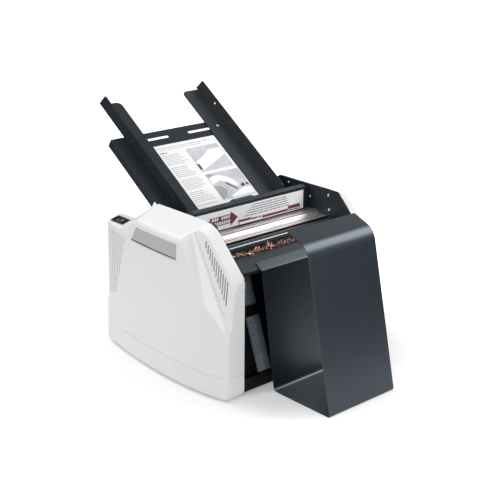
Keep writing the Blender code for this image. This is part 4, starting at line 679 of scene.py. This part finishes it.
def moulded_body():
    """The smooth outer body with its vent channel and hollow, in the cover's own place."""
    body = cover_block("body", rounded(cover_corners()), 0, cover_width, rim=0.006)
    cut_channel(body)
    alone(body)
    applied(body, "REMESH", mode="VOXEL", voxel_size=0.0015, adaptivity=0)
    applied(body, "SMOOTH", factor=0.5, iterations=4)
    applied(body, "DECIMATE", ratio=0.30)
    hollow = cover_block("hollow", rounded(cover_corners(cover_wall), 4), -overrun,
                         cover_width - cover_wall, rim=0.0035, strip=0.016)
    cut_channel(hollow, cover_wall)
    cut(body, hollow)
    return body


body = moulded_body()
print("body triangles:", sum(len(p.vertices) - 2 for p in body.data.polygons))

# %% Vents, grille and seam
def engraved(body, name, outline, depth):
    """Sinks an outline into the outer face of a cover."""
    cut(body, cover_block(name, outline, cover_width - depth, cover_width + overrun, falls=False))


vent_count, vent_half, vent_inner = 11, 0.0014, 0.006
rear_vent, front_vent = 0.0675, 0.0160
vent_margin_high, vent_margin_low = 0.0205, 0.0120
vent_lows, vent_highs = [], []
for index in range(vent_count):
    y = rear_vent + (front_vent - rear_vent) * index / (vent_count - 1)
    top = slope_foot + y * slope_rise / slope_run - vent_margin_high
    rise = (y - valley_start) * (valley_high - valley_low) / (valley_end - valley_start)
    vent_lows.append((vent_inner, y - vent_half, valley_low + rise + vent_margin_low))
    vent_highs.append((cover_width, y + vent_half, top))
cut(body, bars(vent_lows, vent_highs))

grille_recess = [(0.2566, 0.2124), (0.3144, 0.2124), (0.3144, 0.0926), (0.2936, 0.0926)]
recess_depth, groove_depth = 0.0009, 0.0019
groove_count, groove_start, groove_pitch, groove_width = 8, 0.2600, 0.0065, 0.0030
groove_top, groove_foot, slant_run, first_share = 0.209, 0.096, 0.037, 0.10
engraved(body, "grille", grille_recess, recess_depth)
for index in range(groove_count):
    y = groove_start + groove_pitch * index
    share = min((y - groove_start) / slant_run + first_share, 1)
    foot = groove_top - (groove_top - groove_foot) * share
    engraved(body, "groove", [(y, foot), (y, groove_top), (y + groove_width, groove_top),
                              (y + groove_width, foot)], groove_depth)

seam_low, seam_high, seam_rear, seam_depth = 0.0405, 0.0416, 0.262, 0.0008
seam = [(-overrun, seam_low), (-overrun, seam_high), (seam_rear, seam_high), (seam_rear, seam_low)]
engraved(body, "seam", seam, seam_depth)
cut(body, bars([(-overrun, -overrun, seam_low)], [(0.056, seam_depth, seam_high)]))
print("vents: %d, grooves: %d" % (vent_count, groove_count))

# %% [markdown]
# The right cover is the left one's mirror image without the plate and the switch, so it is hung
# first, from a copy. The recess and the switch hole are then cut for the left cover alone. A plain
# sheet close behind the vents keeps them light and hides the inside.

# %% Left and right cover
plate_recess = [(0.107, 0.2125), (0.107, 0.2395), (0.218, 0.2395), (0.235, 0.2125)]
plate_depth = 0.0014
switch_out, switch_y = 0.0185, 0.2975
switch_low, switch_high = (-0.0071, -0.0151, -0.0075), (0.0071, 0.0151, 0.0040)
baffle_gap, baffle_shares = 0.0060, (0.10, 0.92)


def hung(piece, side):
    """Moves a piece from the cover's own place to its side of the machine, -1 left and 1 right."""
    for vertex in piece.data.vertices:
        out, y, z = vertex.co
        vertex.co = (side * (cover_inner + out), y + front_plane, z)
    if side < 0:
        alone(piece)
        opened()
        bpy.ops.mesh.flip_normals()
        bpy.ops.object.mode_set(mode="OBJECT")
    return piece


def hung_cover(node, side, shape):
    """A cover placed on its side of the machine."""
    cover = hung(linked(node + "_moulded", shape.data.copy()), side)
    even_shading(cover, 32)
    return mounted(cover, node, instead=True)


def baffle(node, side):
    """A plain sheet close behind the vents of a cover."""
    behind = vent_face_in * (cover_wall + baffle_gap)
    corners = [valley_line[0].lerp(valley_line[1], share) for share in baffle_shares]
    corners += [brow_line[1], brow_line[0]]
    places = [(side * (cover_inner + p.x), p.y + front_plane, p.z)
              for p in (corner + behind for corner in corners)]
    sheet = drawn(node + "_baffle", places, faces=[(0, 1, 2, 3)])
    applied(sheet, "SOLIDIFY", thickness=0.001, offset=0)
    opened()
    closed()
    return mounted(sheet, node)


baffle("left_cover", -1)
baffle("right_cover", 1)
right_cover = hung_cover("right_cover", 1, body)
engraved(body, "plate_recess", plate_recess, plate_depth)
switch_z = platform_height * (1 - platform_fall * switch_out / cover_height)
switch_tilt = math.atan(platform_fall * platform_height / cover_height)
hole = bars([switch_low], [switch_high])
settled(hole, Matrix.Translation((switch_out, switch_y, switch_z))
        @ Matrix.Rotation(switch_tilt, 4, "Y"))
cut(body, hole)
left_cover = hung_cover("left_cover", -1, body)
bpy.data.objects.remove(body, do_unlink=True)
print("cover faces:", len(left_cover.data.polygons), len(right_cover.data.polygons))

# %% [markdown]
# The guard over the rollers is one polished sheet. Narrow grooves run along it and break its
# reflection into bright bands; their faces carry painted shade. Its line in the side view, which is
# the solid's with grooves added, is pulled out across the machine and thickened.

# %% Roller guard
groove_half = 0.0007
grooves = [(0.1270, 0.2286, -0.18), (0.1185, 0.2279, 0.17), (0.1050, 0.2224, 0.02)]
guard_thickness = 0.0009


def groove_at(y, z, slope):
    """The three corners of a narrow groove in a face of that slope."""
    rise = groove_half * slope
    return [(y + groove_half, z + rise, 0), (y, z - groove_half, 0), (y - groove_half, z - rise, 0)]


guard_line = rounded(
    [(0.1440, 0.2256, 0)] + groove_at(*grooves[0]) + [(0.1250, 0.2290, 0.006)]
    + groove_at(*grooves[1]) + [(0.1160, 0.2275, 0.004), (0.1130, 0.2226, 0.0012)]
    + groove_at(*grooves[2]) + [(0.0965, 0.2222, 0)], 6)
guard_low, guard_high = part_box("roller_guard")
guard = drawn("formed_guard", [(guard_low[0], y + front_plane, z) for y, z in guard_line],
              chain=len(guard_line) - 1)
opened("EDGE")
pulled((guard_high[0] - guard_low[0], 0, 0))
closed()
applied(guard, "SOLIDIFY", thickness=guard_thickness,
        offset=1 if guard.data.polygons[0].normal.z < 0 else -1)
opened()
closed()
even_shading(guard, sharp_angle)
mounted(guard, "roller_guard", instead=True)
# Painted shade: the faces inside the grooves take the dark shade-painted spray.
guard.data.materials.append(shade_painted_spray)
for face in guard.data.polygons:
    middle = face.center.y - front_plane
    if any(abs(middle - y) < groove_half for y, z, slope in grooves):
        face.material_index = 1
print("guard line points:", len(guard_line))

# %% [markdown]
# Prints are modelled too, because a flat colour on the sheet would have no edge. Each ink shape is
# an outline with the thickness of a print, laid on its sheet. A line of writing is a row of short
# bars of different length, drawn from a fixed seed, because no real words are wanted.

# %% Print helpers
ink = 0.00006
thick_ink = 0.00008


def sheet_place(y, z, slope):
    """A place on a sheet: x across the machine, y up the slope and z out of the sheet."""
    spot = Matrix.Translation((0, y + front_plane, z))
    return spot @ Matrix.Rotation(math.radians(slope), 4, "X")


def inked(name, node, look, place, outlines, low=0.0, high=thick_ink):
    """Flat shapes of one ink on a sheet, as one piece."""
    vertices, faces = [], []
    for outline in outlines:
        faces.append(list(range(len(vertices), len(vertices) + len(outline))))
        vertices += [(a, b, low) for a, b in outline]
    print_shape = drawn(name, vertices, faces=faces)
    opened()
    pulled((0, 0, high - low))
    closed()
    return mounted(settled(print_shape, place), node, look)


def box_of(left, low, right, high):
    """The outline of a rectangle."""
    return [(left, low), (right, low), (right, high), (left, high)]


def bar(left, right, middle, half, shift):
    """The outline of a bar whose top is shifted along it."""
    return [(left, middle - half), (right, middle - half),
            (right + shift, middle + half), (left + shift, middle + half)]


def writing(left, right, middle, tall, chance, slant=0.0):
    """A line of words as bars, from the left to the right end."""
    words = []
    while left < right:
        end = min(left + chance.uniform(1.6, 6.0) * tall, right)
        words.append(bar(left, end, middle, tall / 2, slant * tall))
        left = end + 0.8 * tall
    return words


tray_sheet = sheet_place(0.2248, 0.2698, 34.4)
label_sheet = sheet_place(0.1384, 0.0, 90.0)
fold_sheet = sheet_place(0.0075, 0.0290, 70.0)
chute_sheet = sheet_place(0.0170, 0.1960, 35.6)
print("card lies at", tuple(round(v, 3) for v in tray_sheet.translation))

# %% [markdown]
# The card on the tray has a title, a column of small writing and two pictures. Both pictures show
# sheets on a machine: a grey ground, a white sheet across it and a few dark shapes. They are built
# in layers, each a little higher than the one below, so that none of them flickers.

# %% Instruction card
chance = random.Random(4)
card_top = 0.0007
column_left, column_right = -0.0640, -0.0250
line_at, line_pitch, line_count, paragraph = 0.0905, 0.0042, 29, 7


def on_card(name, look, outlines, layer=ink):
    """One ink of the card, as high as its layer."""
    inked(name, "instruction_card", look, tray_sheet, outlines, card_top, card_top + layer)


lines = writing(column_left, 0.0550, 0.1075, 0.0012, chance)
lines += writing(-0.0600, 0.0300, 0.1030, 0.0010, chance)
for row in range(line_count):
    if row % paragraph != paragraph - 1:
        lines += writing(column_left, column_right + chance.uniform(-0.008, 0.006), line_at, 0.0012,
                         chance)
    line_at -= line_pitch
on_card("card_writing", grey_ink, lines)
on_card("card_heading", dark_ink, writing(-0.0650, -0.0500, 0.0966, 0.0018, chance))
on_card("card_pictures", photo_ink, [box_of(-0.0095, 0.0400, 0.0625, 0.0965),
                                     box_of(-0.0083, -0.0275, 0.0670, 0.0330)])
on_card("pictured_sheets", white_card, [
    [(-0.0080, 0.0640), (0.0160, 0.0740), (0.0350, 0.0860), (0.0600, 0.0860), (0.0625, 0.0700),
     (0.0471, 0.0627), (0.0117, 0.0493), (-0.0026, 0.0430)],
    [(-0.0053, 0.0235), (0.0060, 0.0275), (0.0190, 0.0255), (0.0300, 0.0200), (0.0400, 0.0100),
     (0.0441, -0.0030), (0.0370, -0.0035), (0.0290, 0.0060), (0.0126, 0.0145), (-0.0070, 0.0090)],
    [(0.0340, -0.0155), (0.0480, -0.0110), (0.0660, -0.0120), (0.0660, -0.0265), (0.0170, -0.0265),
     (0.0130, -0.0230)],
], 1.5 * ink)
on_card("pictured_shade", grey_ink, [
    [(0.0130, 0.0740), (0.0206, 0.0748), (0.0203, 0.0658), (0.0114, 0.0633)],
    [(-0.0083, 0.0327), (0.0014, 0.0327), (0.0108, 0.0275), (-0.0060, 0.0250)],
    [(-0.0083, 0.0047), (0.0060, 0.0030), (0.0140, -0.0060), (0.0060, -0.0210), (-0.0083, -0.0275)],
], thick_ink)
on_card("pictured_rollers", dark_ink, [
    [(-0.0087, 0.0588), (-0.0035, 0.0584), (-0.0033, 0.0461), (-0.0088, 0.0450)],
    [(0.0190, 0.0060), (0.0220, 0.0080), (0.0370, -0.0100), (0.0350, -0.0130)],
    [(0.0469, -0.0030), (0.0563, -0.0010), (0.0560, -0.0070), (0.0484, -0.0088)],
    [(0.0600, -0.0010), (0.0650, -0.0030), (0.0640, -0.0080), (0.0590, -0.0060)],
], 2 * ink)
print("card writing bars:", len(lines))

# %% [markdown]
# The label across the machine has an arrow and thick bars in plum ink, and a slanted stack of
# writing. White bars stand where the arrow's words would be.

# %% Label
chance = random.Random(9)
inked("label_plum", "info_label", plum_ink, label_sheet, [
    [(-0.0926, 0.2374), (-0.0473, 0.2374), (-0.0473, 0.2328), (-0.0318, 0.2452), (-0.0473, 0.2576),
     (-0.0473, 0.2532), (-0.0926, 0.2532)],
    box_of(-0.0306, 0.2345, -0.0011, 0.2382),
    box_of(-0.0306, 0.2303, -0.0285, 0.2345),
    box_of(0.0233, 0.2315, 0.0836, 0.2361),
    box_of(0.0836, 0.2345, 0.1126, 0.2405),
    box_of(0.1105, 0.2303, 0.1126, 0.2345),
])
letter_pitch, letter_half, letter_width, letter_lean = 0.0050, 0.0026, 0.0036, 0.0012
letters = []
for row, (left, middle) in enumerate(((-0.0885, 0.2493), (-0.0830, 0.2415))):
    for column in range(8 - row):
        if (row, column) != (0, 3):
            start = left + letter_pitch * column
            letters.append(bar(start, start + letter_width, middle, letter_half, letter_lean))
inked("label_letters", "info_label", white_ink, label_sheet, letters, 0.0, 2 * ink)
lines = []
for row in range(5):
    lines += writing(0.0060 - 0.0052 * row, 0.0790 + 0.0018 * row, 0.2588 - 0.0041 * row, 0.0013,
                     chance, 0.25)
lines += writing(-0.0005, 0.0225, 0.2352, 0.0026, chance, 0.25)
lines += writing(0.0850, 0.1095, 0.2324, 0.0022, chance, 0.25)
lines.append([(-0.0200, 0.2412), (-0.0190, 0.2412), (0.0045, 0.2612), (0.0035, 0.2612)])
inked("label_writing", "info_label", dark_ink, label_sheet, lines)
print("label bars:", len(lines) + len(letters))

# %% [markdown]
# The fold length scale is a film strip with a mark every five millimetres and a number at every
# second mark. The numbers are text made into meshes, because only meshes keep their place.

# %% Fold scale
strip_left, strip_low, strip_face = -0.1030, 0.0003, 0.0006
mark_count, mark_pitch, mark_half, mark_margin = 32, 0.005, 0.0004, 0.0012
long_mark, short_mark = 0.0060, 0.0038
marks = []
for index in range(1, mark_count + 1):
    reach = long_mark if index % 2 == 0 else short_mark
    at = strip_low + mark_pitch * index
    marks.append(box_of(strip_left + mark_margin, at - mark_half,
                        strip_left + mark_margin + reach, at + mark_half))
for border in (0.0008, 0.0262):
    marks.append(box_of(strip_left + border, strip_low + 0.001,
                        strip_left + border + 0.0008, strip_low + 0.162))
inked("scale_marks", "scale_strip", dark_ink, fold_sheet, marks, strip_face, strip_face + thick_ink)
numbers = []
for index in range(1, mark_count // 2 + 1):
    number_low = strip_low + 2 * mark_pitch * index - 0.0021
    bpy.ops.object.text_add(location=(strip_left + 0.0085, number_low, strip_face))
    number = bpy.context.object
    number.data.body = str(index)
    number.data.size = 0.0062
    number.data.extrude = thick_ink
    bpy.ops.object.convert(target="MESH")
    numbers.append(bpy.context.object)
scale_numbers = settled(joined(numbers), fold_sheet)
scale_numbers.name = "scale_numbers"
mounted(scale_numbers, "scale_strip", dark_ink)
print("scale marks:", len(marks))

# %% [markdown]
# The rivet heads, the guide's screw and the ring on the switch are turned: a profile is drawn
# beside the axis and spun round it, and the seam where the spin meets itself is merged.

# %% Turned parts
def turned(name, profile, steps):
    """A closed body of revolution about z from a profile of (radius, height) points."""
    made = drawn(name, [(radius, 0, height) for radius, height in profile],
                 chain=len(profile) - 1)
    opened()
    bpy.ops.mesh.spin(steps=steps, angle=2 * math.pi, center=(0, 0, 0), axis=(0, 0, 1))
    bpy.ops.mesh.select_all(action="SELECT")
    bpy.ops.mesh.remove_doubles(threshold=0.000005)
    closed()
    bpy.ops.object.shade_smooth_by_angle(angle=math.radians(35))
    return made


rivet_radius, rivet_height, rivet_foot, dome_steps = 0.0024, 0.0010, -0.0006, 8
plate_face = 0.1352
rivet_places = ((0.1910, 0.2620), (0.1370, 0.2490), (0.0920, 0.2600), (0.0890, 0.2345))
dome = [(0, rivet_foot), (rivet_radius, rivet_foot)]
for step in range(dome_steps):
    rise = math.radians(90 * step / dome_steps)
    dome.append((rivet_radius * math.cos(rise), rivet_height * math.sin(rise)))
dome.append((0, rivet_height))
rivet = turned("rivet", dome, 24)
inwards = Vector((-1, 0, 0)).to_track_quat("Z", "Y").to_matrix().to_4x4()
for index, (y, z) in enumerate(rivet_places):
    head = linked("rivet_head_%d" % (index + 1), rivet.data.copy())
    settled(head, Matrix.Translation((plate_face, y + front_plane, z)) @ inwards)
    mounted(head, "roller_guard")
screw = linked("right_guide_screw", rivet.data.copy())
settled(screw, tray_sheet @ Matrix.Translation((0.0897, 0.133, 0.0034)))
mounted(screw, "right_paper_guide", bright_steel)
bpy.data.objects.remove(rivet, do_unlink=True)
print("rivets and screws:", len(rivet_places) + 1)

# %% [markdown]
# Copper tinsel hangs across the exit to take the charge off the paper. A strand is a three-sided
# tapered blade with two bends; it is modelled once, and its copies differ in length, lean and turn.
# They stand round the twisted core, most of them short and a few long, some together in a tuft.

# %% Copper tinsel
strand_length, strand_foot, strand_tip = 0.006, 0.00042, 0.00022
strand_bends = (0.002, 0.004)
strand_count, tinsel_half, tinsel_up = 330, 0.121, 0.0365
strand_lift, tuft_lift = 0.0018, 0.0020
length_choice = (0.4, 0.6, 0.6, 0.8, 0.8, 1.0, 1.0, 1.5)
tufts, tuft_strands, tuft_width = (-0.116, -0.078, -0.074, -0.048, -0.046, -0.024, -0.004), 9, 1.5
bpy.ops.mesh.primitive_cone_add(vertices=3, radius1=strand_foot, radius2=strand_tip,
                                depth=strand_length, location=(0, 0, strand_length / 2))
strand = bpy.context.object
strand.name = "strand"
bpy.ops.object.mode_set(mode="EDIT")
for height in strand_bends:
    bpy.ops.mesh.select_all(action="SELECT")
    bpy.ops.mesh.bisect(plane_co=(0, 0, height), plane_no=(0, 0, 1), threshold=on_plane)
bpy.ops.object.mode_set(mode="OBJECT")
settled(strand)
for vertex in strand.data.vertices:
    high = vertex.co.z
    vertex.co.x += 0.0009 * max(high / 0.002 - 0.5, 0) ** 1.5 * 0.6
    vertex.co.y += 0.0005 * math.sin(high * 900)


def planted(name, across, lift, lean, sway, spin, size):
    """A copy of the strand on the core, leaning and swaying by degrees, scaled by its size."""
    place = (Matrix.Translation((across, tinsel_up, lift))
             @ Matrix.Rotation(math.radians(lean), 4, "X")
             @ Matrix.Rotation(math.radians(sway), 4, "Y")
             @ Matrix.Rotation(spin, 4, "Z") @ Matrix.Diagonal((*size, 1)))
    return settled(linked(name, strand.data.copy()), place)


chance = random.Random(21)
strands = []
for index in range(strand_count):
    long = chance.choice(length_choice)
    lean, sway = chance.uniform(-95, 80), chance.uniform(-50, 50)
    across, spin = chance.uniform(-tinsel_half, tinsel_half), chance.uniform(0, 2 * math.pi)
    size = (chance.uniform(0.8, 1.5), chance.uniform(0.8, 1.5), long)
    strands.append(planted("strand_%d" % index, across, strand_lift, lean, sway, spin, size))
for tuft in tufts:
    for index in range(tuft_strands):
        across = tuft + chance.uniform(-0.002, 0.002)
        lean, sway = chance.uniform(-35, 20), chance.uniform(-28, 28)
        spin = chance.uniform(0, 2 * math.pi)
        size = (tuft_width, tuft_width, chance.uniform(1.0, 1.75))
        strands.append(planted("tuft_%d" % index, across, tuft_lift, lean, sway, spin, size))
bpy.data.objects.remove(strand, do_unlink=True)
tinsel = settled(joined(strands), chute_sheet)
tinsel.name = "tinsel_strands"
mounted(tinsel, "copper_tinsel")
# Painted shade: a dark strip on the chute above the tinsel stands for the shade there.
inked("chute_shade", "exit_chute", shade_painted_spray, chute_sheet,
      [box_of(-0.127, 0.0400, 0.127, 0.0498)], 0.0, 0.0002)
print("strands:", len(strands), "faces:", len(tinsel.data.polygons))

# %% [markdown]
# Two small marks finish the left side. A dark stripe runs along the foot of the blank plate, bowed
# as the cover is. The rocker has a bar for on and a ring for off, laid on its sloping top.

# %% Plate stripe and switch marks
stripe_outline = [(0.110, 0.2143), (0.110, 0.2160), (0.2325, 0.2160), (0.2335, 0.2143)]
stripe = cover_block("plate_stripe", stripe_outline, cover_width - 0.0008, cover_width + 0.00003,
                     falls=False)
mounted(hung(stripe, -1), "blank_plate", dark_ink)

rocker_place, rocker_sink, rocker_lean = (-0.1571, switch_y + front_plane, 0.22628), -0.0022, -7
mark_low, mark_high, ring_high = 0.0024, 0.0031, 0.0032
ring_inner, ring_outer, ring_y = 0.0013, 0.0019, -0.0070
rocker_top = (Matrix.Translation(rocker_place) @ Matrix.Rotation(-switch_tilt, 4, "Y")
              @ Matrix.Translation((0, 0, rocker_sink))
              @ Matrix.Rotation(math.radians(rocker_lean), 4, "X"))
inked("switch_on_mark", "power_rocker", white_ink, rocker_top,
      [box_of(-0.0022, 0.0065, 0.0022, 0.0074)], mark_low, mark_high)
ring = turned("switch_off_mark", [(ring_inner, mark_low), (ring_outer, mark_low),
                                  (ring_outer, ring_high), (ring_inner, ring_high),
                                  (ring_inner, mark_low)], 32)
settled(ring, rocker_top @ Matrix.Translation((0, ring_y, 0)))
mounted(ring, "power_rocker", white_ink)
